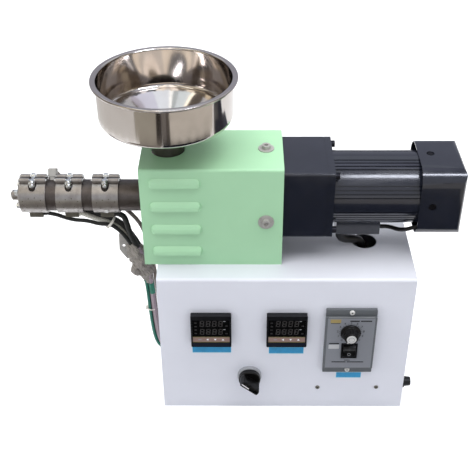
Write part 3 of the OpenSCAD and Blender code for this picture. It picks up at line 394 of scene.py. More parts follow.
def recessed_head(bm, place, d, height, recess, size, depth, dome):
    """Adds a screw head: a domed rim round a flat top with a cross or a slot cut into it."""
    count, top_r = 36, max(size * 0.5 + 0.25, d * 0.30)
    if recess == "cross":
        w, s = size * 0.15, size / 2
        cut = [(w, w), (w, s), (-w, s), (-w, w), (-s, w), (-s, -w),
            (-w, -w), (-w, -s), (w, -s), (w, -w), (s, -w), (s, w)]
    else:
        cut = rectangle(0, 0, size, size * 0.2)
    levels = [(d / 2, 0.0)] + [
        (d / 2 - (d / 2 - top_r) * (1 - math.cos(a)), height * (1 - dome) + height * dome * math.sin(a))
        for a in (math.pi / 2 * k / 5 for k in range(6))
    ]
    rings = [loop(bm, place, r, h, count) for r, h in levels]
    bridge(bm, rings)
    bm.faces.new(rings[0][::-1])
    mouth = [bm.verts.new(place @ Vector((x * MM, y * MM, height * MM))) for x, y in cut]
    floor = [bm.verts.new(place @ Vector((x * MM * 0.85, y * MM * 0.85, (height - depth) * MM))) for x, y in cut]
    outer = [bm.edges.get((rings[-1][k], rings[-1][(k + 1) % count])) for k in range(count)]
    inner = [bm.edges.new((mouth[k], mouth[(k + 1) % len(cut)])) for k in range(len(cut))]
    bmesh.ops.triangle_fill(bm, use_beauty=True, edges=outer + inner)
    for face in [f for f in bm.faces if set(f.verts) == set(mouth)]:
        bm.faces.remove(face)
    for k in range(len(cut)):
        n = (k + 1) % len(cut)
        bm.faces.new((mouth[k], mouth[n], floor[n], floor[k]))
    bm.faces.new(floor)


def make_piece(name, bm, finish, body=MACHINE, smooth=35, soft=0.0):
    """Makes the mesh a piece: its material, the body it rides on, and rounded edges."""
    bmesh.ops.recalc_face_normals(bm, faces=bm.faces)
    mesh = bpy.data.meshes.new(name)
    bm.to_mesh(mesh)
    bm.free()
    made = bpy.data.objects.new(name, mesh)
    bpy.context.collection.objects.link(made)
    material, slot = finish_of(finish)
    mesh.materials.append(material)
    mesh.shade_smooth()
    if soft:
        edge = made.modifiers.new("edge", "BEVEL")
        edge.width = soft * MM
        edge.segments = 2
        edge.angle_limit = math.radians(smooth)
        edge.harden_normals = True
    else:
        mesh.set_sharp_from_angle(angle=math.radians(smooth))
    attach(made, body)
    return made


def printed(name, outlines, y, finish, body=MACHINE, thick=INK):
    """Flat shapes lying on a face that looks towards -Y."""
    bm = bmesh.new()
    for outline in outlines:
        prism(bm, outline, y - thick, y)
    return make_piece(name, bm, finish, body)


def laid_on(name, outlines, node, finish, body=MACHINE):
    """Ink that follows a node's front, wherever its skin lies behind each corner."""
    ahead = -300  # before every node
    mesh = NODES[node].data
    skin = BVHTree.FromPolygons([v.co for v in mesh.vertices], [p.vertices for p in mesh.polygons])
    bm = bmesh.new()
    for outline in outlines:
        spots = [skin.ray_cast(Vector((x, ahead, z)) * MM, Vector((0, 1, 0)))[0] for x, z in outline]
        plate(bm, [spot - Vector((0, INK * MM, 0)) for spot in spots], spots)
    return make_piece(name, bm, finish, body)


def figures(name, labels, y, size, finish):
    """Plain numbers standing on a face that looks towards -Y: (text, x, z) each."""
    bm = bmesh.new()
    for text, x, z in labels:
        data = bpy.data.curves.new(name + "_text", "FONT")
        data.body = text
        data.size = size * MM
        data.align_x = data.align_y = "CENTER"
        data.extrude = INK * MM / 2
        data.resolution_u = 3
        holder = bpy.data.objects.new(name + "_text", data)
        bpy.context.collection.objects.link(holder)
        bpy.context.view_layer.update()
        mesh = bpy.data.meshes.new_from_object(holder.evaluated_get(bpy.context.evaluated_depsgraph_get()))
        upright = Matrix.Translation((x * MM, (y - INK / 2) * MM, z * MM)) @ Matrix.Rotation(math.pi / 2, 4, "X")
        mesh.transform(upright)
        bm.from_mesh(mesh)
        bpy.data.objects.remove(holder)
        bpy.data.meshes.remove(mesh)
        bpy.data.curves.remove(data)
    return make_piece(name, bm, finish)


# ---------- leads ----------


def smooth_run(points, steps=4):
    """Catmull-Rom curve through points, the same one that the source's tubes follow."""
    p = [Vector(point) for point in points]
    run = []
    for i in range(len(p) - 1):
        a, b, c, d = p[max(i - 1, 0)], p[i], p[i + 1], p[min(i + 2, len(p) - 1)]
        for k in range(steps):
            t = k / steps
            bend, twist = 2 * a - 5 * b + 4 * c - d, 3 * b - a - 3 * c + d
            run.append(0.5 * (2 * b + (c - a) * t + bend * t * t + twist * t**3))
    return run + [p[-1]]


def strand(name, run, d, finish):
    """A round strand along a run of points, as an open curve."""
    data = bpy.data.curves.new(name, "CURVE")
    data.dimensions = "3D"
    data.bevel_depth = d / 2 * MM
    data.bevel_resolution = 3
    data.use_fill_caps = True
    line = data.splines.new("POLY")
    line.points.add(len(run) - 1)
    for target, place in zip(line.points, run):
        target.co = (*(place * MM), 1)
    line.use_smooth = True
    made = bpy.data.objects.new(name, data)
    bpy.context.collection.objects.link(made)
    material, slot = finish_of(finish)
    data.materials.append(material)
    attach(made, MACHINE)
    return made


def between(run, high, low):
    """The part of a falling run whose points lie between two heights."""
    return [p for p in run if low <= p.z <= high]


def sleeve(name, run, radii, finish, wrinkle, grain, sides=20):
    """A closed sleeve along a run: radii vary along it, and noise wrinkles it."""
    bm = bmesh.new()
    rings = []
    for k, place in enumerate(run):
        ahead = (run[min(k + 1, len(run) - 1)] - run[max(k - 1, 0)]).normalized()
        side = ahead.cross(Vector((0, 1, 0))).normalized()
        depth = side.cross(ahead)
        r = radii(k / (len(run) - 1))
        ring = []
        for n in range(sides):
            a = 2 * math.pi * n / sides
            out = side * math.cos(a) + depth * math.sin(a)
            bulge = 1 + wrinkle * field.noise((place + out * r) / grain)
            ring.append(bm.verts.new((place + out * r * bulge) * MM))
        rings.append(ring)
    bridge(bm, rings)
    bm.faces.new(rings[0][::-1])
    bm.faces.new(rings[-1])
    return make_piece(name, bm, finish, smooth=70)


def cable_tie(name, place, ahead, wide, deep, width=3.0, thick=0.9):
    """A nylon tie round a bundle: a thin band with its square locking head at the front."""
    ahead = Vector(ahead).normalized()
    side = ahead.cross(Vector((0, 1, 0))).normalized()
    axes = Matrix((side, Vector((0, 1, 0)), ahead)).transposed().to_4x4()
    frame_at = Matrix.Translation(Vector(place) * MM) @ axes
    bm = bmesh.new()
    loops = []
    for grow, level in ((0, -width / 2), (thick, -width / 2), (thick, width / 2), (0, width / 2)):
        outline = rounded(0, 0, deep + 2 * grow, wide + 2 * grow, min(deep, wide) / 2 - 0.3 + grow, 6)
        loops.append([bm.verts.new(frame_at @ Vector((x * MM, y * MM, level * MM))) for x, y in outline])
    bridge(bm, loops + loops[:1])
    head = bmesh.ops.create_cube(bm, size=1)["verts"]
    shape = frame_at @ Matrix.Translation((-(deep / 2 + thick) * MM, -1 * MM, 0))
    shape = shape @ Matrix.Diagonal((3.2 * MM, 4.6 * MM, (width + 1.6) * MM, 1))
    for vert in head:
        vert.co = shape @ vert.co
    return make_piece(name, bm, "nylon", soft=0.3)


# Runs of the leads: the same points as in the part's source
MOTOR_RUN = [(65, -12, 228.5), (65, -12, 226), (65, -12, 223.5), (67.5, -11, 219.5), (73, -9, 216), (81, -5.5, 213),
    (89, -2, 208.5), (93.5, 0, 201.5), (95, 1, 192), (95.5, 2, 180)]
FAN_RUN = [(154, -33, 249.5), (148, -33, 249.5), (140, -30, 244.5), (132, -22, 238.5), (124, -13, 235.5),
    (118, -10, 234.5), (114, -10, 234.5), (110, -10, 234.5)]
OUTER_DROP = [(-208.6, 231.2), (-201.6, 226.2), (-195, 218.5), (-189.5, 209), (-183.5, 197), (-179, 183), (-174.5, 167),
    (-171.5, 148), (-170, 128), (-169, 104), (-167, 71), (-163, 47), (-156.5, 36), (-147, 32.5)]
INNER_DROP = [(-168.5, 168), (-165.5, 149), (-164, 128), (-163, 104), (-161, 72), (-158, 50), (-153.5, 41), (-147, 39)]
A_START = [(-286, 248), (-283, 248), (-280, 248), (-270, 245.5), (-262, 242), (-250, 238.5), (-236, 237), (-222, 233)]
B_START = [(-244, -3.2, 248), (-242, -3.2, 248), (-240, -3.2, 248), (-230, -2.6, 243), (-222, -0.5, 238),
    (-214, 1.9, 234.6)]
C1_START = [(-244, 248), (-242, 248), (-240, 248), (-230, 246), (-222, 242.8), (-214, 240.5), (-205, 236), (-197, 230),
    (-190, 221.5), (-184, 211.5), (-178, 199), (-173, 184.5)]
C2_START = [(-202, 248), (-200, 248), (-198, 248), (-191.5, 243.5), (-188.5, 233), (-186.5, 223), (-183.5, 211.5),
    (-178, 199), (-173, 184.5)]
SENSOR_RUN = [(-272, 16.86, 293.05), (-272, 19.5, 291.65), (-272, 22.15, 290.25), (-271, 25.5, 287),
    (-267.5, 28, 280.5), (-258, 28, 273), (-244, 27.5, 264), (-227, 25, 257), (-211, 20, 253), (-198, 14, 249),
    (-188, 10, 243), (-180, 9, 234), (-174, 9.5, 223), (-169.5, 9.5, 210), (-167, 9.5, 196), (-164.5, 9.5, 178),
    (-161.5, 9.5, 158), (-159.5, 9.5, 130), (-158, 9.5, 104), (-156.5, 9.5, 76), (-156, 9.5, 56),
    (-153.5, 9.5, 45), (-147, 9.5, 39)]

# Tape wound round the bundle where sleeves give way to wires, and the knot that ties it off
WRAP_RUN = [(-186.5, 0, 203), (-182.5, 0, 194), (-179, 0, 184), (-175.5, 0, 174), (-172, 0, 164),
    (-169.5, 0, 155), (-168, 0, 145)]
KNOT_RUN = [(-181.5, -7, 175), (-183.5, -7.5, 171), (-183.2, -7.6, 166.5), (-180.2, -7, 162.5), (-176, -6, 160)]

# A height above the tops of all the heater leads, so that each sleeve begins where its lead does
SLEEVE_TOP = 260


def at_depth(run, y):
    """The points of an (x, z) run, all at one depth."""
    return [(x, y, z) for x, z in run]


def hold(wire, node):
    """Hides the CAD node that a strand stands in for."""
    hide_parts(node)


def make_leads():
    """The motor, fan, heater and sensor leads, with their sleeves, ties and tape."""
    motor, fan, sensor = (smooth_run(points) for points in (MOTOR_RUN, FAN_RUN, SENSOR_RUN))
    hold(strand("motor_cable", motor, 10.5, "lead_rubber"), "motor_lead")
    hold(strand("fan_cable", fan, 5, "lead_rubber"), "fan_lead")

    bundle = [
        cable_tie("upper_tie", (-207.5, 0, 234.5), (7, 0, -5), 11.2, 13.5),
        cable_tie("lower_tie", (-166.1, 0, 102), (1, 0, -24), 12.8, 12.2, 1.8, 0.7),
        sleeve("glass_tape_wrap", smooth_run(WRAP_RUN, 6),
            lambda t: 6.4 + 4.6 * math.sin(math.pi * min(1, t * 1.1)) ** 0.8, "tape", 0.42, 5.5, 28),
        sleeve("glass_tape_knot", smooth_run(KNOT_RUN, 5),
            lambda t: 1.2 + 3.8 * math.sin(math.pi * t) ** 0.7, "tape", 0.35, 3.0),
    ]
    # (name, points, diameter, finish, the sleeve's finish, height at which the sleeve ends)
    plan = [
        # First band: thin black sleeve, teal green below the wrap
        ("band_1_lead", at_depth(A_START + OUTER_DROP, -2.6), 4, "green_wire", "black_sleeve", 190),
        # Second band: pale sleeve over mauve, and black sleeve over taupe
        ("band_2_return", B_START + at_depth(OUTER_DROP, 2.3), 5, "mauve_wire", "pale_sleeve", 195),
        ("band_2_lead", at_depth(C1_START + INNER_DROP, 3.2), 6, "taupe_wire", "black_sleeve", 198),
        # Third band: black sleeve over mauve, with a joint in heat-shrink lower down
        ("band_3_lead", at_depth(C2_START + INNER_DROP, -3.2), 6, "mauve_wire", "black_sleeve", 198),
    ]
    for name, points, d, finish, cover, foot in plan:
        run = smooth_run(points)
        wire = strand(name, run, d, finish)
        covered = between(run, SLEEVE_TOP, foot)
        pieces = [sleeve(name + "_sleeve", covered, lambda t, r=d / 2 + 0.35: r, cover, 0.05, 3.0)]
        if name == "band_1_lead":
            pieces += bundle
        if name == "band_3_lead":
            joint = between(run, 147, 124)
            pieces.append(sleeve("joint_heat_shrink", joint, lambda t: 3.5, "heat_shrink", 0.08, 4.0))
        hold(wire, "heater_leads")
    hold(strand("sensor_cable", sensor, 5, "taupe_wire"), "sensor_lead")


make_leads()


# ---------- the frame's own solids ----------


def dress_frame():
    """Gives every CAD node its material, soft edges and smooth curves."""
    # Widths of the softer edges
    soft = {"gear_cover": 0.4, "gearbox": 1.0, "motor_flange": 0.8, "fan_cover": 0.8, "cabinet_wrapper": 0.4,
        "motor_body": 0.2}
    usual = 0.25
    thin = {"heat_display", "cooling_display", "controller_keys", "speed_face", "hopper", "hopper_cone", "hopper_neck"}
    for part in frame["record"]["subparts"]:
        node = part["node"]
        shape = NODES[node]
        shape.data.materials.clear()
        shape.data.materials.append(finish_of(NODE_FINISH.get(node, part["material_slot"]))[0])
        for face in shape.data.polygons:
            face.use_smooth = True
        if "custom_normal" in shape.data.attributes:
            shape.data.attributes.remove(shape.data.attributes["custom_normal"])
        weld = shape.modifiers.new("weld", "WELD")
        weld.merge_threshold = 0.002 * MM
        if node in thin:
            # Too thin to round: the corners are only kept sharp
            crease = shape.modifiers.new("crease", "EDGE_SPLIT")
            crease.split_angle = math.radians(30)
            weigh = shape.modifiers.new("weigh", "WEIGHTED_NORMAL")
            weigh.mode = "FACE_AREA"
            weigh.weight = 100
            continue
        edge = shape.modifiers.new("edge", "BEVEL")
        edge.width = soft.get(node, usual) * MM
        edge.segments = 2
        edge.limit_method = "ANGLE"
        edge.angle_limit = math.radians(40)
        edge.harden_normals = True


dress_frame()


# ---------- panel instruments ----------

PANEL_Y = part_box("cabinet_wrapper")[0][1] / MM


def segments(x, z, w, h, t, lean=0.08):
    """The seven bars of one digit, which leans a little to the right."""
    bars = []
    for side in (-1, 1):
        for level in (-1, 1):
            bars.append(rounded(side * (w - t) / 2, level * h / 4, t, h / 2 - t * 0.6, t * 0.25, 2))
    for level in (-1, 0, 1):
        bars.append(rounded(0, level * (h - t) / 2, w - t * 1.5, t, t * 0.25, 2))
    return [[(x + p + q * lean, z + q) for p, q in bar] for bar in bars]


def dress_controller(node, display, tag):
    """Digits, marks, key symbols and the plain band of one temperature controller."""
    low, high = (Vector(c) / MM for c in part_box(node))
    # The drawn places below are counted from the middle of the face
    x, z, y = (low.x + high.x) / 2, (low.z + high.z) / 2, low.y
    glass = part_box(display)[0][1] / MM
    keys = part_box("controller_keys")
    key_y, key_z, key_h = keys[0][1] / MM, (keys[0][2] + keys[1][2]) / 2 / MM, (keys[1][2] - keys[0][2]) / MM
    digits, pitch = [], 7.3
    for row_z, height in ((z + 12.3, 9.2), (z - 0.1, 8.8)):
        for k in range(4):
            digits += segments(x + 0.45 + pitch * (k - 1.5), row_z, 5.2, height, 1.25)
    printed(tag + "_digits", digits, glass, "unlit_digits")
    lamps = [rounded(x - 18.2, z + dz, 3.0, 1.6, 0.5) for dz in (13.5, 8.0, 2.8, -2.8)]
    lamps += [rounded(x + 18.4, z + dz, 3.0, 1.6, 0.5) for dz in (9.0, -3.0)]
    printed(tag + "_lamps", lamps, glass, "faint_digits")
    units = [rounded(x + 16.0, z + dz, 2.6, 1.0, 0.4) for dz in (16.2, 3.5)]
    printed(tag + "_unit_marks", units, glass, "grey_ink")
    arrow = [(-1.6, -1.2), (1.6, -1.2), (0, 1.5)]
    symbols = [turned(arrow, 90, x - 4.5, key_z), turned(arrow, 180, x + 4.8, key_z), turned(arrow, 0, x + 14.0, key_z)]
    printed(tag + "_key_symbols", symbols, key_y, "white_ink")
    printed(tag + "_set_mark", [rounded(x - 13.5, key_z, 4.2, 1.2, 0.5)], key_y, "grey_ink")
    rules = [rectangle(x, key_z + side * (key_h / 2 - 0.55), 43.6, 0.9) for side in (-1, 1)]
    printed(tag + "_key_rules", rules, key_y, "olive_ink")
    printed(tag + "_navy_band", [rounded(x, z - 20.2, 44.6, 5.2, 0.6)], y, "navy_film", thick=FILM)


dress_controller("heat_controller", "heat_display", "heat")
dress_controller("cooling_controller", "cooling_display", "cooling")


def label_strip(name, x0, x1, z0, z1):
    """A bare blue label with a pale cut edge, stuck to the panel."""
    x, z, w, h = (x0 + x1) / 2, (z0 + z1) / 2, x1 - x0, z1 - z0
    printed(name + "_border", [rounded(x, z - 0.2, w + 0.9, h + 1.1, 0.6)], PANEL_Y, "label_edge", thick=LABEL)
    printed(name, [rounded(x, z, w, h, 0.4)], PANEL_Y - LABEL, "label_blue", thick=INK)


label_strip("heat_label", -111.2, -64.8, 92.8, 102)
label_strip("cooling_label", -18.4, 23.1, 91.4, 101)
label_strip("speed_label", 65.5, 95.7, 51.2, 59.5)


def panel_screws(name, spots, y, d, height, finish, recess):
    """Pan-head cross-recessed screws that look towards the operator; a black cross in each recess is painted shade."""
    bm, painted_recess_shade = bmesh.new(), []
    reach, w = recess * 0.86, recess * 0.22
    for x, z in spots:
        recessed_head(bm, facing((x, y, z), (0, -1, 0)), d, height, "cross", recess, height * 0.55, 0.7)
        # A black ink cross in each recess paints the shade that falls there
        painted_recess_shade += [rectangle(x, z, reach, w), rectangle(x, z, w, reach)]
    make_piece(name, bm, finish, smooth=40)
    printed(name + "_grime", painted_recess_shade, y - height * 0.5, "black_ink")


panel_screws("front_panel_screws", [(43.3, 34), (116.6, 34.5)], PANEL_Y, 5.2, 1.5, "dull_strip", 2.9)


def paint_selector_line():
    """The painted line along the selector's ridge, which turns with it."""
    ridge_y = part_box("selector_handle")[0][1] / MM
    line = [(-51.9, 62.9), (-51.0, 63.9), (-42.5, 56.1), (-43.4, 55.1)]
    printed("selector_line", [line], ridge_y, "white_ink", SELECTOR, PAINT)


paint_selector_line()


# ---------- band heaters ----------

BAND_MIDDLES = (-293, -251, -209)


def dress_bands():
    """Painted dimple shade on each band, the slotted screw in the last one and the domed nuts on the clamp rods."""
    # Darker discs where the bands have small dimples: painted shade of the dents
    spots = [(-11, 276), (-11, 262), (-4, 279), (-3, 259), (1, 256), (3, 280), (9, 262), (10, 277), (6, 270), (-7, 268)]
    for n, x in enumerate(BAND_MIDDLES):
        marks = [disc(x + dx + 0.6 * n, z - 0.8 * n, 0.75, 10) for dx, z in spots]
        laid_on(f"band_{n + 1}_painted_dimple_shade", marks, f"band_heater_{n + 1}", "dull_strip")
    bm = bmesh.new()
    quarter = [math.pi / 2 * k / 6 for k in range(1, 7)]
    dome = [(0, 2.9)] + [(3.3 * math.sin(a), 2.9 * math.cos(a)) for a in quarter] + [(3.3, -1.5)]
    for x in BAND_MIDDLES:
        lathe(bm, dome[::-1], facing((x + 0.5, -12.6, 292.6), (0, -0.9, 0.44)), 28)
    make_piece("clamp_domed_nuts", bm, "zinc", smooth=60)
    bm = bmesh.new()
    place = facing((BAND_MIDDLES[2] + 0.5, -18.2, 261.8), (0, -0.9, -0.43))
    recessed_head(bm, place, 5.2, 1.3, "slot", 4.6, 0.9, 0.4)
    make_piece("band_3_slotted_screw", bm, "pale_cap", smooth=40)


dress_bands()


# ---------- speed unit ----------

# Degrees from straight up to the low end of the speed scale, and from there to its high end
SCALE_LOW, SCALE_SWEEP = 140, 280


def middle_of(node):
    """Middle of a node's box, in millimetres."""
    return [(low + high) / 2 / MM for low, high in zip(*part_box(node))]


def fluted_knob(name, place, y):
    """The dial: a skirt under a fluted grip that narrows towards its bright cap. Gives back where its face lies."""
    bm = bmesh.new()
    flutes, around = 20, 160
    # (distance out from the plate, radius, depth of the flutes)
    levels = [(0.0, 12.0, 0), (1.6, 12.0, 0), (2.2, 11.4, 0), (2.5, 10.3, 0), (3.0, 9.9, 0.5), (3.6, 9.7, 0.8),
        (10.2, 8.3, 0.8), (11.4, 7.9, 0.5), (12.0, 7.2, 0.1), (12.2, 6.2, 0), (11.9, 5.9, 0)]
    rings = []
    for out, radius, cut in levels:
        ring = []
        for k in range(around):
            a = 2 * math.pi * k / around
            r = radius - cut * (0.5 - 0.5 * math.cos(a * flutes)) ** 2
            x, z = place[0] + r * math.sin(a), place[1] + r * math.cos(a)
            ring.append(bm.verts.new((x * MM, (y - out) * MM, z * MM)))
        rings.append(ring)
    bridge(bm, rings)
    bm.faces.new(rings[0])
    bm.faces.new(rings[-1][::-1])
    made = make_piece(name, bm, "knob_black", DIAL, smooth=50)
    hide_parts("speed_knob")
    return y - levels[-1][0]


def dress_speed_unit():
    """Screws, scale, knob and the plain patches of the motor's speed unit."""
    low, high = (Vector(c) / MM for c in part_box("speed_plate"))
    x = (low.x + high.x) / 2
    # The screws sit on the flange, set back from the plate's front
    flange_y = low.y + 3
    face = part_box("speed_face")[0][1] / MM
    panel_screws("speed_unit_screws", [(x + 0.4, 159.6), (x, 68.8)], flange_y, 6.3, 2.2, "pale_cap", 3.4)
    kx, _, kz = middle_of("speed_knob")
    labels = []
    for k in range(11):
        a = math.radians(-SCALE_LOW + SCALE_SWEEP / 10 * k)
        labels.append((str(k), kx + 15.5 * math.sin(a), kz + 15.5 * math.cos(a)))
    figures("speed_numbers", labels, face, 4.6, "black_ink")
    ticks = [turned(rectangle(0, 12.9, 0.5, 1.0), SCALE_LOW - SCALE_SWEEP / 20 * k, kx, kz) for k in range(21)]
    printed("speed_scale_ticks", ticks, face, "black_ink")
    printed("speed_mustard_patch", [rectangle(59, 148.6, 12.4, 5.4)], face, "mustard_film")
    bars = [(59, 145.2, 11, 0.8), (81.5, 148.7, 11, 1.9), (95, 148.7, 13, 1.9), (59, 113.6, 12, 1.6),
        (76, 86.6, 7, 1.0), (66, 83.7, 17, 1.5), (86, 83.7, 20, 1.5)]
    printed("speed_face_bars", [rectangle(*bar) for bar in bars], face, "black_ink")
    printed("speed_face_light_line", [rectangle(x, 154.6, 54, 0.9)], face, "grey_ink")
    printed("speed_bare_plate", [rounded(58.8, 108.4, 12.6, 6.4, 0.5)], face, "pale_ink", thick=FILM)
    # The cap's face, its engraved ring, and the pointer tab at the low end of the scale
    cap_y = fluted_knob("fluted_speed_knob", (kx, kz), face - 0.6)
    bm, thick = bmesh.new(), 0.8
    lathe(bm, [(0, 0), (5.7, 0), (5.7, 0.5), (5.4, thick), (0, thick)], facing((kx, cap_y, kz), (0, -1, 0)), 48)
    tab = turned([(-1.5, 4.9), (1.5, 4.9), (0.5, 7.6), (-0.5, 7.6)], SCALE_LOW, kx, kz)
    prism(bm, tab, cap_y - 0.75, cap_y - 0.25)
    cap = make_piece("spun_knob_cap", bm, "pale_cap", DIAL)
    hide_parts("speed_knob_cap")
    ring = [turned([(3.1, -0.3), (3.5, -0.3), (3.5, 0.3), (3.1, 0.3)], k * 10, kx, kz) for k in range(36)]
    printed("knob_cap_ring", ring, cap_y - thick, "grey_ink", DIAL)
    # The rocker stands right under the knob
    rz = middle_of("run_rocker")[2]
    laid_on("rocker_on_mark", [rectangle(kx, rz + 5.2, 0.7, 2.6)], "run_rocker", "grey_ink", ROCKER)
    count = 24
    outer, inner = (disc(kx, rz - 4.6, r, count) for r in (2.0, 1.45))
    rim = [[outer[k], outer[(k + 1) % count], inner[(k + 1) % count], inner[k]] for k in range(count)]
    laid_on("rocker_off_mark", rim, "run_rocker", "grey_ink", ROCKER)


dress_speed_unit()


# ---------- floor, room, lamps and camera ----------

# Height of the room and half its width, in metres
CEILING, WALL = 2.3, 2.6


def make_floor():
    """Pale floor that shows white to the camera and keeps the object's shadow."""
    made, tree = new_material("pale_floor")
    path = add(tree, "ShaderNodeLightPath")
    lift = add(tree, "ShaderNodeMath", {"operation": "MULTIPLY", 1: 0.35}, i0=path.outputs["Is Camera Ray"])
    # Throws less light back up than it shows, as a paper sweep with a dark room beyond it does
    tone = add(tree, "ShaderNodeMixRGB", {1: linear("F0F0F1"), 2: linear("D9D9DC")}, i0=path.outputs["Is Diffuse Ray"])
    paint = {"Roughness": 0.9, "Emission Color": (1, 1, 1, 1)}
    shader = add(tree, "ShaderNodeBsdfPrincipled", paint, Base_Color=tone.outputs[0], Emission_Strength=lift.outputs[0])
    add(tree, "ShaderNodeOutputMaterial", None, Surface=shader.outputs[0])
    mesh = bpy.data.meshes.new("floor")
    half = 4.0
    mesh.from_pydata([(-half, -half, 0), (half, -half, 0), (half, half, 0), (-half, half, 0)], [], [(0, 1, 2, 3)])
    floor = bpy.data.objects.new("floor", mesh)
    mesh.materials.append(made)
    bpy.context.collection.objects.link(floor)


def make_world():
    """White to the camera and in gloss; a soft cool room lights the rest."""
    world = bpy.data.worlds.new("studio")
    bpy.context.scene.world = world
    world.use_nodes = True
    tree = world.node_tree
    tree.nodes.clear()
    path = add(tree, "ShaderNodeLightPath")
    either = {"operation": "MAXIMUM"}
    seen = add(tree, "ShaderNodeMath", either, i0=path.outputs["Is Camera Ray"], i1=path.outputs["Is Glossy Ray"])
    seen = add(tree, "ShaderNodeMath", either, i0=seen.outputs[0], i1=path.outputs["Is Transmission Ray"])
    room = add(tree, "ShaderNodeBackground", {"Color": linear("F2F4F8"), "Strength": 0.52})
    white = add(tree, "ShaderNodeBackground", {"Color": (1, 1, 1, 1), "Strength": 1.0})
    mix = add(tree, "ShaderNodeMixShader", i0=seen.outputs[0], i1=room.outputs[0], i2=white.outputs[0])
    add(tree, "ShaderNodeOutputWorld", None, Surface=mix.outputs[0])


def reflected_card(name, corners, colour, strength=1.0):
    """A card of the studio that only polished surfaces see."""
    made, tree = new_material(name)
    glow = add(tree, "ShaderNodeEmission", {"Color": linear(colour), "Strength": strength})
    add(tree, "ShaderNodeOutputMaterial", None, Surface=glow.outputs[0])
    mesh = bpy.data.meshes.new(name)
    mesh.from_pydata(corners, [], [tuple(range(len(corners)))])
    mesh.materials.append(made)
    card = bpy.data.objects.new(name, mesh)
    bpy.context.collection.objects.link(card)
    card.visible_camera = card.visible_diffuse = card.visible_shadow = card.visible_transmission = False


def flat_card(name, x0, y0, x1, y1, z, colour, strength=1.0):
    """A level card of the studio."""
    reflected_card(name, [(x0, y0, z), (x1, y0, z), (x1, y1, z), (x0, y1, z)], colour, strength)


def standing_cards(name, middle, reach, high, rows):
    """Upright cards round a point: (first azimuth, last azimuth, low edge, colour); 0 is towards the operator."""
    for n, (a0, a1, low, colour) in enumerate(rows):
        # One card for about every 15 degrees
        steps = max(1, round((a1 - a0) / 15))
        for k in range(steps):
            ends = [math.radians(a0 + (a1 - a0) * (k + i) / steps) for i in (0, 1)]
            spots = [(middle[0] + reach * math.sin(a), middle[1] - reach * math.cos(a)) for a in ends]
            corners = [(*spots[0], low), (*spots[1], low), (*spots[1], high), (*spots[0], high)]
            reflected_card(f"{name}_{n}_{k}", corners, colour)


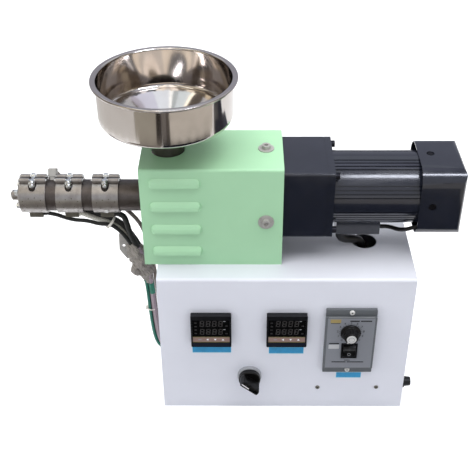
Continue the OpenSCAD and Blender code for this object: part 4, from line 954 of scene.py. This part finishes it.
def make_room():
    """What polished metal and enamel reflect: walls, a striped ceiling, stands and a dark mat."""
    standing_cards("room_wall", (0, 0), WALL, CEILING, [
        (-180, -120, 0.05, "ACAEBB"), (-120, -78, 0.05, "8A8074"), (-78, -52, 0.3, "E8E2D2"),
        (-52, -30, 0.05, "B0A9A2"), (-30, 30, 0.35, "D4D6DC"), (30, 62, 0.05, "A39C96"),
        (62, 84, 0.3, "DDD8CC"), (84, 120, 0.05, "6E665E"), (120, 180, 0.05, "ACAEBB")])
    low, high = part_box("hopper")
    standing_cards("hopper_ring", ((low[0] + high[0]) / 2, 0), 0.75, 0.26, [
        (-154, -46, 0, "E3E1DF"), (-46, -10.6, 0, "B0ABA0"), (-10.6, -2.6, 0, "322E2B"),
        (-2.6, 4.8, 0, "7F7A77"), (4.8, 10.2, 0, "5C5652"), (10.2, 85.5, 0, "DBD5CC")])
    # Ceiling lamps, before the hopper and over it: stripes of (first x, last x, colour, strength)
    rows = {
        (-WALL, 0.02): [
            (-WALL, -1.8, "8A8074", 0.8), (-1.8, -1.5, "E8DCC4", 1.8), (-1.5, -1.0, "8F867A", 1),
            (-1.0, -0.75, "F0E8D8", 2), (-0.75, -0.5, "A89E90", 1), (-0.5, -0.3, "F4EEE8", 2.3),
            (-0.3, -0.12, "EEECEA", 1.5), (-0.12, 0.12, "F2ECE2", 2.1), (0.12, 0.4, "9498A0", 1),
            (0.4, 0.55, "E6E9F0", 2.2), (0.55, 0.95, "7C8088", 1), (0.95, 1.2, "DCE0E8", 1.8),
            (1.2, WALL, "70747C", 1)],
        (0.02, 0.9): [
            (-WALL, -0.92, "6B625B", 1), (-0.92, -0.82, "FFF6E6", 2.3), (-0.82, -0.5, "DCE8F0", 1.5),
            (-0.5, -0.36, "BCC6CC", 1.3), (-0.36, -0.28, "F4F8FA", 2.0), (-0.28, 0.1, "E0E8F4", 1.6),
            (0.1, 0.5, "D4D8EC", 1.5), (0.5, 0.66, "C8C6D8", 1.2), (0.66, WALL, "746B63", 1)],
    }
    for (y0, y1), stripes in rows.items():
        for n, (x0, x1, colour, strength) in enumerate(stripes):
            flat_card(f"ceiling_{y1}_{n}", x0, y0, x1, y1, CEILING, colour, strength)
    flat_card("ceiling_back", -WALL, 0.9, WALL, WALL, CEILING, "C4C8D0", 1.3)
    flat_card("long_lamp", 0.3, -1.15, 1.5, -0.8, 2.2, "EEF2FF", 22)
    flat_card("dark_mat", -0.16, -0.8, 0.6, -0.12, 0.002, "202228")
    flat_card("grey_mat", -0.6, -0.8, -0.17, -0.12, 0.002, "8C8681")


def area_light(name, place, aim, size, power):
    """A soft lamp; polished surfaces see the room's cards in its place."""
    data = bpy.data.lights.new(name, "AREA")
    data.shape = "RECTANGLE"
    data.size, data.size_y = size
    data.energy = power
    lamp = bpy.data.objects.new(name, data)
    lamp.location = place
    lamp.rotation_euler = (Vector(aim) - Vector(place)).to_track_quat("-Z", "Y").to_euler()
    lamp.visible_glossy = False
    bpy.context.collection.objects.link(lamp)


def make_camera():
    """Stands before the panel, a little left of its middle, and looks down at the machine."""
    data = bpy.data.cameras.new("camera")
    data.sensor_width = 36
    data.lens = 68.36962
    data.clip_start = 0.05
    camera = bpy.data.objects.new("camera", data)
    yaw, pitch, roll = (math.radians(a) for a in (-0.566, 35.566, 0.284))
    turn = Matrix.Rotation(-yaw, 4, "Z") @ Matrix.Rotation(math.pi / 2 - pitch, 4, "X")
    stand = Matrix.Translation(Vector((-48.7, -884.8, 844.2)) * MM)
    camera.matrix_world = stand @ turn @ Matrix.Rotation(-roll, 4, "Z")
    bpy.context.collection.objects.link(camera)
    bpy.context.scene.camera = camera


make_floor()
make_world()
make_room()
make_camera()
area_light("overhead_softbox", (-0.135, 0.0, 1.9), (-0.135, 0.05, 0.2), (2.6, 2.0), 53)
area_light("left_fill", (-1.6, -0.9, 0.9), (0, 0, 0.25), (1.0, 1.0), 4.7)
area_light("right_fill", (1.5, -1.1, 0.8), (0, 0, 0.25), (1.0, 1.0), 3.4)
bpy.context.scene.view_settings.view_transform = "Standard"

bpy.context.view_layer.update()
